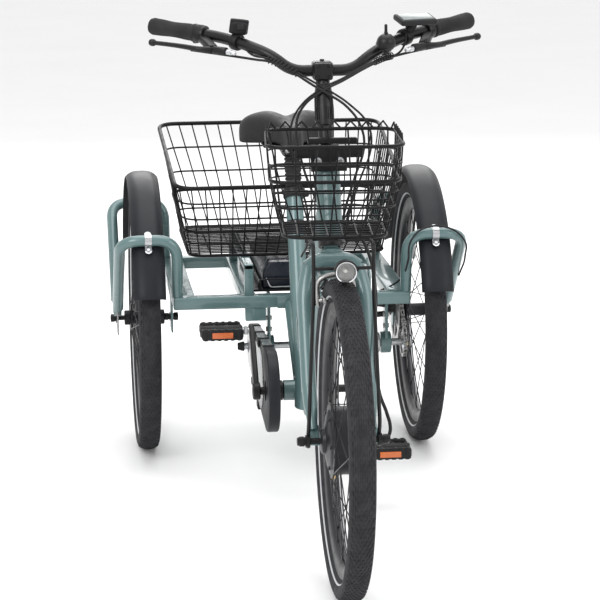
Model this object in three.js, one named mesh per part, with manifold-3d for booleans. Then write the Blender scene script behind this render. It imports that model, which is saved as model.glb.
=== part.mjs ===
// Electric adult tricycle: steered front wheel with hub motor, two rear wheels beside a
// cargo frame, wire baskets front and rear. Millimetres, +Z up, the tricycle faces -Y and
// +X is the rider's left. Places are given with the front axle at Y = 0 and the ground at
// Z = 0; the last lines move the whole group so that the origin is the centre of the footprint.

import * as THREE from 'three';
import { mergeVertices } from 'three/addons/utils/BufferGeometryUtils.js';
import Module from 'manifold-3d';

const wasm = await Module();
wasm.setup();

// ---- driving dimensions -------------------------------------------------------------------

const gap = 0.3;                      // between pieces that touch
const wheelRadius = 305;              // 24 inch wheel with a 50 mm tyre
const tyreWidth = 50;
const rimOuter = 262;
const rimInner = 234;
const rimWidth = 26;
const rimFlange = 3;                  // wall that holds the tyre's bead
const wheelbase = 1200;
const halfTrack = 318;
const spokeCount = 12;                // every third spoke; the wheel really has 36
const spokeRadius = 1.3;

const headAngle = THREE.MathUtils.degToRad(68);
const forkOffset = 54;                // steering axis ahead of the axle at axle height
const steererRadius = 14.3;
const headTubeRadius = 25;
const headTubeLow = 650;
const headTubeHigh = 796;
const headsetHeight = 12;
const crownHeight = 592;
const forkHalf = 58;
const wheelSegments = 24;
const dropoutThickness = 5;

const clampHeight = 966;
const barRadius = 11.5;
const barHalfWidth = 316;
const gripLength = 100;
const gripRadius = 16;
const gripSides = 12;
const barBore = (barRadius + gap) / Math.cos(Math.PI / gripSides);

const bottomBracket = { y: 720, z: 235, radius: 22, bore: 17 };
const mainTubeRadius = 23;
const seatTubeRadius = 19;
const seatTubeTop = { y: 892, z: 642 };
const seatPostRadius = 13.6;
const seatPostFit = 0.5;
const seatPostDepth = 190;
const saddleHeight = 740;
const saddleThickness = 52;

const crankLength = 152;
const crankAngle = THREE.MathUtils.degToRad(47);
const crankArmX = 102;
const pedalX = 168;
const pedalWidth = 92;
const pedalBodyThickness = 26;
const chainX = -70;
const chainringRadius = 75;
const driveSprocketRadius = 38;
const finalSprocketRadius = 30;
const hubSprocketRadius = 36;
const chainHeight = 8;
const chainWidth = 7;
const caseClearance = 14;
const caseThickness = 28;
const finalSprocketInset = 43;        // final chain line, in from the rear wheel plane
const shaft = { y: wheelbase - 72, z: 245, radius: 8, left: -108, right: halfTrack - finalSprocketInset + 4 };
const bearingClearance = 0.9;

const axleRadius = 5.5;
const axleFit = 0.7;
const axleReach = 80;                 // rear axle either side of the wheel plane
const dropoutOffset = 62;             // rear dropout plates either side of the wheel plane
const plateThickness = 4;

const deckHeight = 385;
const deckTube = { width: 32, height: 28 };
const deckFront = wheelbase - 245;
const deckRear = wheelbase + 250;
const deckHalf = halfTrack - 70;
const sideRailWidth = 49;
const outerHanger = halfTrack - 86;    // right-hand bearing plate of the cross shaft
const midRailX = 96;
const postWidth = 20;
const hoopRadius = 12.5;
const hoopDistance = 351;             // hoop centre line from the rear axle, over the wheel
const hoopAngle = THREE.MathUtils.degToRad(40);
const hoopBend = 48;
const fenderRadius = 337;
const fenderHalf = 36;
const fenderWall = 3;
const fenderStart = THREE.MathUtils.degToRad(18);
const fenderEnd = THREE.MathUtils.degToRad(160);

const rearBasket = {
  bottom: { front: wheelbase - 150, rear: wheelbase + 240, half: halfTrack - 98, z: 472 },
  top: { front: wheelbase - 215, rear: wheelbase + 288, half: halfTrack - 54, zFront: 635, zRear: 714 },
  columns: 3, rows: 1, rimRadius: 4.5, wire: 4.4,
};
const frontBasket = {
  bottom: { front: -15, rear: 161, half: 98, z: 692 },
  top: { front: -56, rear: 197, half: 128, zFront: 868, zRear: 868 },
  columns: 2, rows: 1, rimRadius: 3.5, wire: 4,
};
const frontBasketTurn = -4;           // degrees: it hangs a little askew on its bracket
const basketPlate = { y: 216, z: 808, width: 70, height: 50, thickness: 6 };
const stayX = 67;                     // at the axle
const stayTopX = 56;
const stayY = -14;
const stayRadius = 4;
const headlight = { z: 636, radius: 20, depth: 36 };

const frontAxleReach = 88;
const axleHeight = wheelRadius;

// ---- materials ----------------------------------------------------------------------------

function finish(color, roughness, metalness) {
  return () => new THREE.MeshStandardMaterial({ color, roughness, metalness });
}

const tealPaint = finish(0x6f9593, 0.28, 0.15);
const blackPaint = finish(0x1b1c1f, 0.35, 0.2);
const blackPlastic = finish(0x1d1e20, 0.6, 0);
const blackRubber = finish(0x232426, 0.85, 0);
const tyreRubber = finish(0x2b2c2e, 0.9, 0);
const silver = finish(0xb9bcbf, 0.3, 0.9);
const chrome = finish(0xd7d9da, 0.12, 1);
const glassClear = finish(0xe6e9ea, 0.08, 0);
const batteryShell = finish(0x171b24, 0.4, 0);

// ---- geometry helpers ---------------------------------------------------------------------

const at = (x, y, z) => new THREE.Vector3(x, y, z);

function solid(geometry) {
  const plain = geometry.index ? geometry.toNonIndexed() : geometry.clone();
  plain.deleteAttribute('normal');
  plain.deleteAttribute('uv');
  const merged = mergeVertices(plain, 1e-3);
  const index = merged.index.array;
  const place = merged.attributes.position;
  const kept = [];
  let volume = 0;
  const a = at(0, 0, 0);
  const b = at(0, 0, 0);
  const c = at(0, 0, 0);
  for (let i = 0; i < index.length; i += 3) {
    const [p, q, r] = [index[i], index[i + 1], index[i + 2]];
    if (p !== q && q !== r && r !== p) {
      kept.push(p, q, r);
      a.fromBufferAttribute(place, p);
      b.fromBufferAttribute(place, q);
      c.fromBufferAttribute(place, r);
      volume += a.dot(b.cross(c));
    }
  }
  if (volume < 0) kept.reverse();
  return new wasm.Manifold(new wasm.Mesh({
    numProp: 3,
    vertProperties: new Float32Array(place.array),
    triVerts: new Uint32Array(kept),
  }));
}

function join(...solids) {
  return solids.flat().reduce((whole, next) => whole.add(next));
}

function cut(body, ...tools) {
  return tools.flat().reduce((left, tool) => left.subtract(tool), body);
}

function rod(from, to, radius, sides = 12, endRadius = radius) {
  const length = from.distanceTo(to);
  const geometry = new THREE.CylinderGeometry(endRadius, radius, length, sides);
  const direction = to.clone().sub(from).normalize();
  geometry.applyQuaternion(new THREE.Quaternion().setFromUnitVectors(at(0, 1, 0), direction));
  const middle = from.clone().add(to).multiplyScalar(0.5);
  geometry.translate(middle.x, middle.y, middle.z);
  return solid(geometry);
}

function block(width, depth, height, centre, tiltX = 0, turnZ = 0) {
  const geometry = new THREE.BoxGeometry(width, depth, height);
  geometry.rotateX(tiltX);
  geometry.rotateZ(turnZ);
  geometry.translate(centre.x, centre.y, centre.z);
  return solid(geometry);
}

function ball(radius, centre, sides = 10) {
  const geometry = new THREE.SphereGeometry(radius, sides, Math.ceil(sides / 2));
  geometry.translate(centre.x, centre.y, centre.z);
  return solid(geometry);
}

function section(radius, sides) {
  const points = [];
  for (let i = 0; i < sides; i += 1) {
    const angle = (2 * Math.PI * i) / sides;
    points.push(new THREE.Vector2(radius * Math.cos(angle), radius * Math.sin(angle)));
  }
  return new THREE.Shape(points);
}

// A polyline whose corners are rounded by quadratic arcs.
function bentPath(points, bend) {
  const path = new THREE.CurvePath();
  let from = points[0];
  for (let i = 1; i < points.length - 1; i += 1) {
    const corner = points[i];
    const before = corner.distanceTo(points[i - 1]);
    const after = corner.distanceTo(points[i + 1]);
    const reach = Math.min(bend, before / 2, after / 2);
    const start = corner.clone().lerp(points[i - 1], reach / before);
    const end = corner.clone().lerp(points[i + 1], reach / after);
    path.add(new THREE.LineCurve3(from, start));
    path.add(new THREE.QuadraticBezierCurve3(start, corner, end));
    from = end;
  }
  path.add(new THREE.LineCurve3(from, points[points.length - 1]));
  return path;
}

function sweep(path, radius, sides, steps) {
  return solid(new THREE.ExtrudeGeometry(section(radius, sides), {
    steps, extrudePath: path, bevelEnabled: false, curveSegments: 1,
  }));
}

function bentTube(points, radius, bend, sides = 10, steps = 24) {
  return sweep(bentPath(points, bend), radius, sides, steps);
}

function cable(points, radius, steps, sides = 6) {
  return sweep(new THREE.CatmullRomCurve3(points, false, 'centripetal'), radius, sides, steps);
}

// A profile of [radius, place along X] turned about the X axis through (y, z).
function turnedAboutX(profile, segments, x, y, z) {
  const points = profile.map(([radius, along]) => new THREE.Vector2(radius, along));
  const geometry = new THREE.LatheGeometry(points, segments);
  geometry.rotateZ(-Math.PI / 2);
  geometry.translate(x, y, z);
  return solid(geometry);
}

// A profile of [radius, place along the line] turned about the line from a point along a direction.
function turnedAbout(profile, segments, origin, direction) {
  const points = profile.map(([radius, along]) => new THREE.Vector2(radius, along));
  const geometry = new THREE.LatheGeometry(points, segments);
  geometry.applyQuaternion(new THREE.Quaternion().setFromUnitVectors(at(0, 1, 0), direction));
  geometry.translate(origin.x, origin.y, origin.z);
  return solid(geometry);
}

// The corner radius of a bore with flat facets that still clears a round of the given radius.
function around(radius, sides) {
  return radius / Math.cos(Math.PI / sides);
}

function ringProfile(inner, outer, low, high) {
  return [[inner, low], [outer, low], [outer, high], [inner, high], [inner, low]];
}

// The outline of a belt round two discs in the YZ plane, extruded along X.
function beltShape(y1, z1, r1, y2, z2, r2, steps = 12) {
  const distance = Math.hypot(y2 - y1, z2 - z1);
  const line = Math.atan2(z2 - z1, y2 - y1);
  const spread = Math.acos((r1 - r2) / distance);
  const points = [];
  for (let i = 0; i <= steps; i += 1) {
    const angle = line + spread + ((2 * Math.PI - 2 * spread) * i) / steps;
    points.push(new THREE.Vector2(y1 + r1 * Math.cos(angle), z1 + r1 * Math.sin(angle)));
  }
  for (let i = 0; i <= steps; i += 1) {
    const angle = line - spread + (2 * spread * i) / steps;
    points.push(new THREE.Vector2(y2 + r2 * Math.cos(angle), z2 + r2 * Math.sin(angle)));
  }
  return new THREE.Shape(points);
}

function plateAlongX(shape, lowX, thickness) {
  const geometry = new THREE.ExtrudeGeometry(shape, {
    depth: thickness, bevelEnabled: false, curveSegments: 8,
  });
  const turn = new THREE.Matrix4().makeBasis(at(0, 1, 0), at(0, 0, 1), at(1, 0, 0));
  geometry.applyMatrix4(turn);
  geometry.translate(lowX, 0, 0);
  return solid(geometry);
}

const tricycle = new THREE.Group();

function addPart(name, body, material) {
  const data = body.getMesh();
  const geometry = new THREE.BufferGeometry();
  geometry.setAttribute('position', new THREE.BufferAttribute(data.vertProperties, 3));
  geometry.setIndex(new THREE.BufferAttribute(data.triVerts, 1));
  const mesh = new THREE.Mesh(geometry, material());
  mesh.name = name;
  tricycle.add(mesh);
}

// ---- steering and seat lines --------------------------------------------------------------

const steerUp = at(0, Math.cos(headAngle), Math.sin(headAngle));
const seatLean = Math.atan2(seatTubeTop.z - bottomBracket.z, seatTubeTop.y - bottomBracket.y);
const seatUp = at(0, Math.cos(seatLean), Math.sin(seatLean));

function onSteerAxis(z) {
  return at(0, forkOffset + (z - axleHeight) / Math.tan(headAngle), z);
}

function onSeatAxis(z) {
  return at(0, bottomBracket.y + (z - bottomBracket.z) / Math.tan(seatLean), z);
}

// ---- wheels -------------------------------------------------------------------------------

function tyre(x, y) {
  const half = tyreWidth / 2;
  const bead = rimWidth / 2 - rimFlange - gap;
  const seat = rimOuter - 12 + gap;
  const side = [
    [seat, bead], [rimOuter + gap, bead], [(rimOuter + wheelRadius) / 2, half],
    [wheelRadius - 7, half * 0.72], [wheelRadius, half * 0.24],
  ];
  const other = side.map(([radius, along]) => [radius, -along]).reverse();
  return turnedAboutX([...side, ...other, side[0]], wheelSegments, x, y, axleHeight);
}

function rim() {
  const half = rimWidth / 2;
  const bed = rimOuter - 12;
  const side = [
    [bed, half - rimFlange], [rimOuter, half - rimFlange], [rimOuter, half],
    [bed - 4, half - 0.5], [rimInner, 7],
  ];
  const other = side.map(([radius, along]) => [radius, -along]).reverse();
  return turnedAboutX([...side, ...other, side[0]], wheelSegments, 0, 0, 0);
}

// Spokes cross: each leaves its flange at a tangent, leading or trailing in turn.
function spokes(flangeRadius, flangeX) {
  const all = [];
  for (let i = 0; i < spokeCount; i += 1) {
    const side = i % 2 === 0 ? 1 : -1;
    const lead = i % 4 < 2 ? 1 : -1;
    const rimAngle = (2 * Math.PI * i) / spokeCount;
    const hubAngle = rimAngle + lead * 1.05;
    const inner = flangeRadius - 3;
    const outer = rimInner + 4;
    const flange = side * (flangeX + lead * 1.6);
    const from = at(flange, inner * Math.cos(hubAngle), inner * Math.sin(hubAngle));
    const to = at(side * 2.5, outer * Math.cos(rimAngle), outer * Math.sin(rimAngle));
    all.push(rod(from, to, spokeRadius, 3));
  }
  return all;
}

function wheelBody(hub, flangeRadius, flangeX, x, y) {
  return join(rim(), hub, spokes(flangeRadius, flangeX)).translate([x, y, axleHeight]);
}

const hubBore = axleRadius + axleFit;

function motorHub() {
  return turnedAboutX([
    [hubBore, -44], [22, -44], [26, -38], [58, -27], [70, -25], [70, 25], [58, 27], [26, 38],
    [22, 44], [hubBore, 44], [hubBore, -44],
  ], 16, 0, 0, 0);
}

function plainHub() {
  return turnedAboutX([
    [hubBore, -46], [17, -46], [17, -33], [30, -32], [30, -27], [16, -25], [16, 25], [30, 27],
    [30, 32], [17, 33], [17, 46], [hubBore, 46], [hubBore, -46],
  ], 12, 0, 0, 0);
}

function wheels() {
  addPart('front_tyre', tyre(0, 0), tyreRubber);
  addPart('front_wheel', wheelBody(motorHub(), 66, 24, 0, 0), blackPaint);
  for (const [side, sign] of [['left', 1], ['right', -1]]) {
    let hub = plainHub();
    if (sign === 1) {
      hub = hub.add(turnedAboutX(ringProfile(16, hubSprocketRadius, -45, -41), 14, 0, 0, 0));
    }
    addPart(`rear_tyre_${side}`, tyre(sign * halfTrack, wheelbase), tyreRubber);
    addPart(`rear_wheel_${side}`, wheelBody(hub, 27, 29.5, sign * halfTrack, wheelbase), blackPaint);
    addPart(`rear_axle_${side}`, rearAxle(sign), blackPaint);
  }
}

function rearAxle(sign) {
  const middle = sign * halfTrack;
  const place = (offset) => at(middle + offset, wheelbase, axleHeight);
  const plateFace = dropoutOffset + plateThickness / 2 + gap;
  const parts = [rod(place(-axleReach), place(axleReach), axleRadius, 8)];
  for (const end of [-1, 1]) {
    parts.push(rod(place(end * plateFace), place(end * (plateFace + 9)), 10, 6));
    parts.push(rod(place(end * (plateFace - 4 - 3 * gap - 3)), place(end * (plateFace - 4 - 2 * gap)), 9, 6));
  }
  return join(parts);
}

// ---- fork, steering column, handlebar -----------------------------------------------------

function fork() {
  const crown = onSteerAxis(crownHeight);
  const parts = [rod(onSteerAxis(crownHeight - 8), onSteerAxis(headTubeHigh + headsetHeight + 2), steererRadius, 12)];
  parts.push(rod(onSteerAxis(crownHeight - 12), onSteerAxis(headTubeLow - headsetHeight - gap), 24, 12));
  for (const sign of [-1, 1]) {
    const shoulder = at(sign * (forkHalf - 14), crown.y, crown.z + 4);
    const elbow = at(sign * forkHalf, crown.y - 8, crown.z - 26);
    const knee = at(sign * (forkHalf - 1), 66, axleHeight + 80);
    const tip = at(sign * (forkHalf - 3), 16, axleHeight + 22);
    parts.push(bentTube([at(0, crown.y + 2, crown.z + 12), shoulder, elbow, knee, tip], 12, 40, 6, 12));
    const plate = block(dropoutThickness, 30, 40, at(sign * (forkHalf - 6), 0, axleHeight + 4));
    const foot = block(10, 26, 18, at(sign * (forkHalf - 4), 10, axleHeight + 22));
    parts.push(plate, foot);
  }
  const hole = rod(at(-120, 0, axleHeight), at(120, 0, axleHeight), hubBore, 12);
  return cut(join(parts), hole);
}

function frontAxle() {
  const place = (x) => at(x, 0, axleHeight);
  const outer = forkHalf - 6 + dropoutThickness / 2 + gap;
  const stay = stayX + stayRadius + 1;
  const parts = [rod(place(-frontAxleReach), place(frontAxleReach), axleRadius, 8)];
  for (const end of [-1, 1]) {
    parts.push(rod(place(end * outer), place(end * (outer + 7)), 11, 6));
    parts.push(rod(place(end * stay), place(end * (frontAxleReach - 4)), 9, 6));
  }
  return join(parts);
}

function frontBrake() {
  const top = onSteerAxis(crownHeight);
  const y = top.y - 46;
  const archZ = top.z + 9;
  const archX = tyreWidth / 2 + 9;
  const arch = bentTube([
    at(-archX, y, top.z - 60), at(-archX, y, archZ), at(archX, y, archZ), at(archX, y, top.z - 60),
  ], 5, 24, 6, 12);
  const bolt = rod(at(0, y, archZ), at(0, y + 21, archZ), 5, 8);
  const pads = [-1, 1].map((sign) => block(9, 40, 10, at(sign * (archX - 0.5), y, top.z - 64)));
  return join(arch, bolt, pads);
}

function stem() {
  const foot = headTubeHigh + headsetHeight + 2 + gap;
  const clamp = onSteerAxis(clampHeight);
  const column = rod(onSteerAxis(foot), onSteerAxis(clampHeight - 12), 13, 12);
  const collar = rod(onSteerAxis(foot), onSteerAxis(foot + 24), 19, 12);
  const riser = rod(onSteerAxis(866), onSteerAxis(936), 17, 12);
  const clampBody = rod(at(-19, clamp.y, clamp.z), at(19, clamp.y, clamp.z), 19, 12);
  const bore = rod(at(-40, clamp.y, clamp.z), at(40, clamp.y, clamp.z), around(barRadius + gap, 12), 12);
  return cut(join(column, collar, riser, clampBody), bore);
}

const barRise = { x: 100, y: 332, z: 997 };
const barKnee = { x: 150, y: 372, z: 1016 };
const gripInner = { x: 196, y: 420, z: 1026 };
const gripOuter = { x: barHalfWidth, y: 505, z: 1040 };
const barBend = 24;
const clampPoint = onSteerAxis(clampHeight);

function barPoint(sign, point) {
  return at(sign * point.x, point.y, point.z);
}

function handlebarPoints(sign) {
  return [
    at(0, clampPoint.y, clampPoint.z), at(sign * 60, clampPoint.y, clampPoint.z),
    barPoint(sign, barRise), barPoint(sign, barKnee), barPoint(sign, gripInner), barPoint(sign, gripOuter),
  ];
}

function handlebar() {
  const left = handlebarPoints(-1).reverse();
  const right = handlebarPoints(1).slice(1);
  left.pop();
  return bentTube([...left, ...right], barRadius, barBend, 8, 44);
}

// A point on the straight end of the bar, measured back from its tip.
function alongGrip(sign, back) {
  const inner = barPoint(sign, gripInner);
  const outer = barPoint(sign, gripOuter);
  return outer.clone().addScaledVector(inner.clone().sub(outer).normalize(), back);
}

function grip(sign) {
  const inner = alongGrip(sign, gripLength);
  const outer = alongGrip(sign, -5);
  const direction = outer.clone().sub(inner).normalize();
  const length = inner.distanceTo(outer);
  return turnedAbout([
    [barBore, 0], [gripRadius + 2, 0], [gripRadius + 2, 5], [gripRadius - 1, 10],
    [gripRadius, length * 0.6], [gripRadius + 3, length], [0, length],
    [0, length - 5 + gap], [barBore, length - 5 + gap], [barBore, 0],
  ], gripSides, inner, direction);
}

const leverPivot = { x: 212, y: 375, z: 1005 };
const mountBack = gripLength + 11;

// Clamp on the bar with an arm down to a forked lever seat, and the barrel adjuster.
function brakeMount(sign) {
  const from = alongGrip(sign, mountBack);
  const to = alongGrip(sign, mountBack + 12);
  const clampRing = rod(from, to, barRadius + 6, 12);
  const bar = rod(alongGrip(sign, mountBack - 10), alongGrip(sign, mountBack + 36), barBore + 0.4, gripSides);
  const middle = from.clone().lerp(to, 0.5);
  const pivot = at(sign * leverPivot.x, leverPivot.y, leverPivot.z);
  const heel = at(pivot.x, pivot.y + 14, pivot.z);
  const arm = rod(middle.clone().lerp(heel, 0.2), middle.clone().lerp(heel, 0.97), 7.5, 8);
  const ears = [-1, 1].map((end) => block(26, 26, 5, at(pivot.x, pivot.y + 3, pivot.z + end * 8)));
  const web = block(26, 7, 21, heel);
  const barrel = rod(at(sign * (leverPivot.x - 8), heel.y - 1, heel.z),
    at(sign * (leverPivot.x - 46), leverPivot.y - 13, leverPivot.z), 4, 6);
  return cut(join(clampRing, arm, web, ears, barrel), bar);
}

function brakeLever(sign) {
  const pivot = at(sign * leverPivot.x, leverPivot.y, leverPivot.z);
  const hub = rod(at(pivot.x, pivot.y, pivot.z - 5), at(pivot.x, pivot.y, pivot.z + 5), 7, 10);
  const blade = cable([
    at(pivot.x, pivot.y, pivot.z), at(sign * 236, 378, pivot.z), at(sign * 270, 404, pivot.z + 3),
    at(sign * 304, 430, pivot.z + 8), at(sign * 318, 434, pivot.z + 10),
  ], 4, 9, 6);
  const knob = ball(6, at(sign * 318, 434, pivot.z + 10), 8);
  return join(hub, blade, knob);
}

// A clamp ring on the straight middle of one leg of the bar, with its bore and its centre.
function barClamp(sign, legStart, legEnd, width, wall) {
  const start = barPoint(sign, legStart);
  const end = barPoint(sign, legEnd);
  const middle = start.clone().lerp(end, 0.5);
  const half = end.clone().sub(start).setLength(width / 2);
  const ring = rod(middle.clone().sub(half), middle.clone().add(half), barRadius + wall, 12);
  const longHalf = half.clone().setLength(width / 2 + 12);
  const bore = rod(middle.clone().sub(longHalf), middle.clone().add(longHalf), around(barRadius + 1, 12), 12);
  return { ring, bore, middle };
}

function display() {
  const { ring, bore, middle } = barClamp(1, gripInner, barKnee, 12, 5);
  const neck = rod(at(middle.x, middle.y - 10, middle.z + 10), at(middle.x, middle.y - 12, middle.z + 36), 6, 8);
  const face = block(78, 48, 13, at(middle.x, middle.y - 12, middle.z + 40), 0.35);
  return cut(join(ring, neck, face), bore);
}

function switchBox() {
  const { ring, bore, middle } = barClamp(-1, gripInner, barKnee, 12, 5);
  const body = block(36, 22, 34, at(middle.x + 16, middle.y - 14, middle.z + 29), 0.3, 0.3);
  return cut(join(ring, body), bore);
}

function switchButton() {
  const { middle } = barClamp(-1, gripInner, barKnee, 12, 5);
  return block(12, 5, 8, at(middle.x + 18, middle.y - 31.5, middle.z + 28), 0.3, 0.3);
}

// Twist throttle: a collar that turns on the bar between the grip and the brake mount.
function throttle() {
  const from = alongGrip(-1, gripLength + 1);
  const to = alongGrip(-1, mountBack - 1);
  const ring = rod(from, to, barRadius + 9, gripSides);
  const bore = rod(alongGrip(-1, gripLength - 20), alongGrip(-1, mountBack + 4), barBore + 0.5, gripSides);
  return cut(ring, bore);
}

const bellReach = barRadius + 12.5;   // from the bar's centre to the bell's base

function bellBody() {
  const { ring, bore, middle } = barClamp(1, barKnee, barRise, 11, 4);
  const foot = rod(at(middle.x, middle.y - 13, middle.z), at(middle.x, middle.y - bellReach - 2, middle.z + 6), 6, 8);
  const dome = turnedAbout([[0, 0], [19, 0], [19, 6], [15, 13], [8, 17], [0, 18]], 12,
    at(middle.x, middle.y - bellReach, middle.z + 8), at(0, -1, 0));
  return cut(join(ring, foot, dome), bore);
}

function bellLever() {
  const { middle } = barClamp(1, barKnee, barRise, 11, 4);
  const z = middle.z + 31;
  return join(rod(at(middle.x, middle.y - bellReach - 16, z), at(middle.x, middle.y - bellReach - 2, z), 3.5, 8),
    block(6, 5, 16, at(middle.x, middle.y - bellReach - 9, z + 9)));
}

// ---- baskets ------------------------------------------------------------------------------

// A flat lattice between four corners (given in order round it), with open windows.
function lattice(corners, columns, rows, bar, thickness) {
  const [a, b, c, d] = corners;
  const across = b.clone().sub(a).normalize();
  const normal = across.clone().cross(d.clone().sub(a)).normalize();
  const up = normal.clone().cross(across);
  const flat = (point) => {
    const offset = point.clone().sub(a);
    return new THREE.Vector2(offset.dot(across), offset.dot(up));
  };
  const [fa, fb, fc, fd] = [a, b, c, d].map(flat);
  const place = (u, v) => fa.clone().lerp(fb, u).lerp(fd.clone().lerp(fc, u), v);
  const basis = new THREE.Matrix4().makeBasis(across, up, normal).setPosition(a);
  const slab = (points, depth) => {
    const geometry = new THREE.ExtrudeGeometry(new THREE.Shape(points), { depth, bevelEnabled: false });
    geometry.translate(0, 0, -depth / 2);
    geometry.applyMatrix4(basis);
    return solid(geometry);
  };
  const du = bar / fa.distanceTo(fb) / 2;
  const dv = bar / fa.distanceTo(fd) / 2;
  const windows = [];
  for (let i = 0; i < columns; i += 1) {
    for (let k = 0; k < rows; k += 1) {
      const [u0, u1] = [i / columns + du, (i + 1) / columns - du];
      const [v0, v1] = [k / rows + dv, (k + 1) / rows - dv];
      windows.push(slab([place(u0, v0), place(u1, v0), place(u1, v1), place(u0, v1)], 2 * thickness));
    }
  }
  return cut(slab([fa, fb, fc, fd], thickness), windows);
}

// Open-topped basket: a lattice floor and four lattice walls, with a thick rim. The walls
// widen in proportion to their height, so each one is flat.
function wireBasket({ bottom, top, columns, rows, rimRadius, wire }) {
  const spread = (z) => THREE.MathUtils.mapLinear(z, bottom.z, top.zRear, bottom.half, top.half);
  const low = (x, t) => at(x * bottom.half, t ? bottom.rear : bottom.front, bottom.z);
  const high = (x, t) => {
    const z = t ? top.zRear : top.zFront;
    return at(x * spread(z), t ? top.rear : top.front, z);
  };
  const turns = [[-1, 0], [1, 0], [1, 1], [-1, 1]];
  const parts = [lattice(turns.map(([x, t]) => low(x, t)), columns, rows + 1, wire, wire)];
  turns.forEach(([x, t], i) => {
    const [nextX, nextT] = turns[(i + 1) % turns.length];
    const wall = [low(x, t), low(nextX, nextT), high(nextX, nextT), high(x, t)];
    parts.push(lattice(wall, columns, rows, wire, wire));
    const along = high(nextX, nextT).sub(high(x, t)).setLength(rimRadius * 0.8);
    const from = high(x, t).sub(along);
    const to = high(nextX, nextT).add(along);
    parts.push(rod(from, to, rimRadius, 6));
    parts.push(rod(low(x, t), high(x, t), wire * 0.7, 4));
  });
  return join(parts);
}

// The basket, turned about the middle of its rear rim.
function hungBasket() {
  const pivot = frontBasket.top.rear;
  return wireBasket(frontBasket).translate([0, -pivot, 0]).rotate([0, 0, frontBasketTurn])
    .translate([0, pivot, 0]);
}

function basketBracket() {
  const { y, z, width, height, thickness } = basketPlate;
  const plate = block(width, thickness, height, at(0, y, z));
  const arm = block(180, 5, 24, at(0, y, z + 13));
  const axis = onSteerAxis(820);
  const neck = block(34, axis.y - y - 10, 22, at(0, (axis.y + y) / 2 - 4, 825));
  const ringFrom = onSteerAxis(812 + headsetHeight - 10);
  const ring = turnedAbout([[0, 0], [25, 0], [25, 14], [0, 14]], 12, ringFrom, steerUp);
  const clear = around(19 + gap, 12);
  const clearance = turnedAbout([[0, -30], [clear, -30], [clear, 40], [0, 40]], 12, ringFrom, steerUp);
  const bolts = [-21, 21].map((x) => rod(at(x, y - thickness / 2 - 4, z - 5), at(x, y, z - 5), 6, 6));
  return join(cut(join(plate, arm, neck, ring), clearance), bolts);
}

function basketStays() {
  const topZ = frontBasket.bottom.z - frontBasket.wire * 0.7 - gap - stayRadius - 2;
  const parts = [];
  for (const sign of [-1, 1]) {
    parts.push(bentTube([
      at(sign * stayTopX, 60, topZ), at(sign * stayTopX, stayY, topZ), at(sign * stayTopX, stayY, headlight.z - 40),
      at(sign * stayX, stayY, axleHeight + 34), at(sign * stayX, 0, axleHeight + 8),
    ], stayRadius, 14, 5, 12));
    parts.push(rod(at(sign * (stayX - 3), 0, axleHeight), at(sign * (stayX + 3), 0, axleHeight), 13, 8));
  }
  parts.push(rod(at(-stayTopX, stayY, headlight.z), at(stayTopX, stayY, headlight.z), 3.5, 6));
  parts.push(block(2 * stayTopX, 16, 5, at(0, 44, topZ + 1)));
  const hole = rod(at(-120, 0, axleHeight), at(120, 0, axleHeight), axleRadius + gap + 0.3, 12);
  return cut(join(parts), hole);
}

const headlightBack = stayY - 4 - gap;

function headlightShell() {
  const r = headlight.radius;
  const d = headlight.depth;
  return turnedAbout([
    [0, 0], [r * 0.6, 0], [r, -d * 0.5], [r + 1, -d], [r - 2, -d], [r - 2, -d + 12], [0, -d + 12], [0, 0],
  ], 16, at(0, headlightBack, headlight.z), at(0, 1, 0));
}

function headlightLens() {
  const r = headlight.radius - 2 - gap;
  const d = headlight.depth;
  return turnedAbout([
    [0, -d + 12 - gap], [r, -d + 12 - gap], [r, -d + 3], [r * 0.6, -d - 1], [0, -d - 2], [0, -d + 12 - gap],
  ], 16, at(0, headlightBack, headlight.z), at(0, 1, 0));
}

// ---- main frame ---------------------------------------------------------------------------

const seatBore = around(seatPostRadius + seatPostFit, 12);

function mainFrame() {
  const bb = at(0, bottomBracket.y, bottomBracket.z);
  const headTube = rod(onSteerAxis(headTubeLow), onSteerAxis(headTubeHigh), headTubeRadius, 14);
  const steererBore = rod(onSteerAxis(headTubeLow - 60), onSteerAxis(headTubeHigh + 60), steererRadius + 3, 12);
  const mainTube = sweep(new THREE.CatmullRomCurve3([
    onSteerAxis(716), at(0, 330, 618), at(0, 450, 548), at(0, 560, 494), at(0, 632, 420),
    at(0, 662, 330), at(0, 694, 204),
  ], false, 'centripetal'), mainTubeRadius, 10, 13);
  const gusset = rod(onSteerAxis(690), at(0, 372, 580), 15, 8);
  const seatTube = rod(bb, onSeatAxis(seatTubeTop.z), seatTubeRadius, 12);
  const seatTubeBore = rod(onSeatAxis(seatTubeTop.z - seatPostDepth), onSeatAxis(seatTubeTop.z + 40), seatBore, 12);
  const shell = rod(at(-44, bb.y, bb.z), at(44, bb.y, bb.z), bottomBracket.radius, 14);
  const shellBore = rod(at(-60, bb.y, bb.z), at(60, bb.y, bb.z), bottomBracket.bore, 12);
  const beamEnd = deckFront - deckTube.width / 2 - gap;
  const past = (from, to) => to.clone().sub(from).setLength(30).add(to);
  const beamFrom = at(0, bb.y + 8, bb.z + 8);
  const beam = rod(beamFrom, past(beamFrom, at(0, beamEnd - 13, deckHeight - 6)), 20, 10);
  const braceFrom = onSeatAxis(470);
  const brace = rod(braceFrom, past(braceFrom, at(0, beamEnd - 19, deckHeight + 5)), 11, 8);
  const flangeThickness = 8;
  const flange = block(70, flangeThickness, deckTube.height, at(0, beamEnd - flangeThickness / 2, deckHeight));
  const behind = block(200, 200, 400, at(0, beamEnd - flangeThickness / 2 + 100, deckHeight));
  const arms = cut(join(beam, brace), behind);
  const clearSteerer = cut(join(headTube, mainTube, gusset), steererBore);
  return cut(join(clearSteerer, seatTube, shell, arms, flange), shellBore, seatTubeBore);
}

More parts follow.
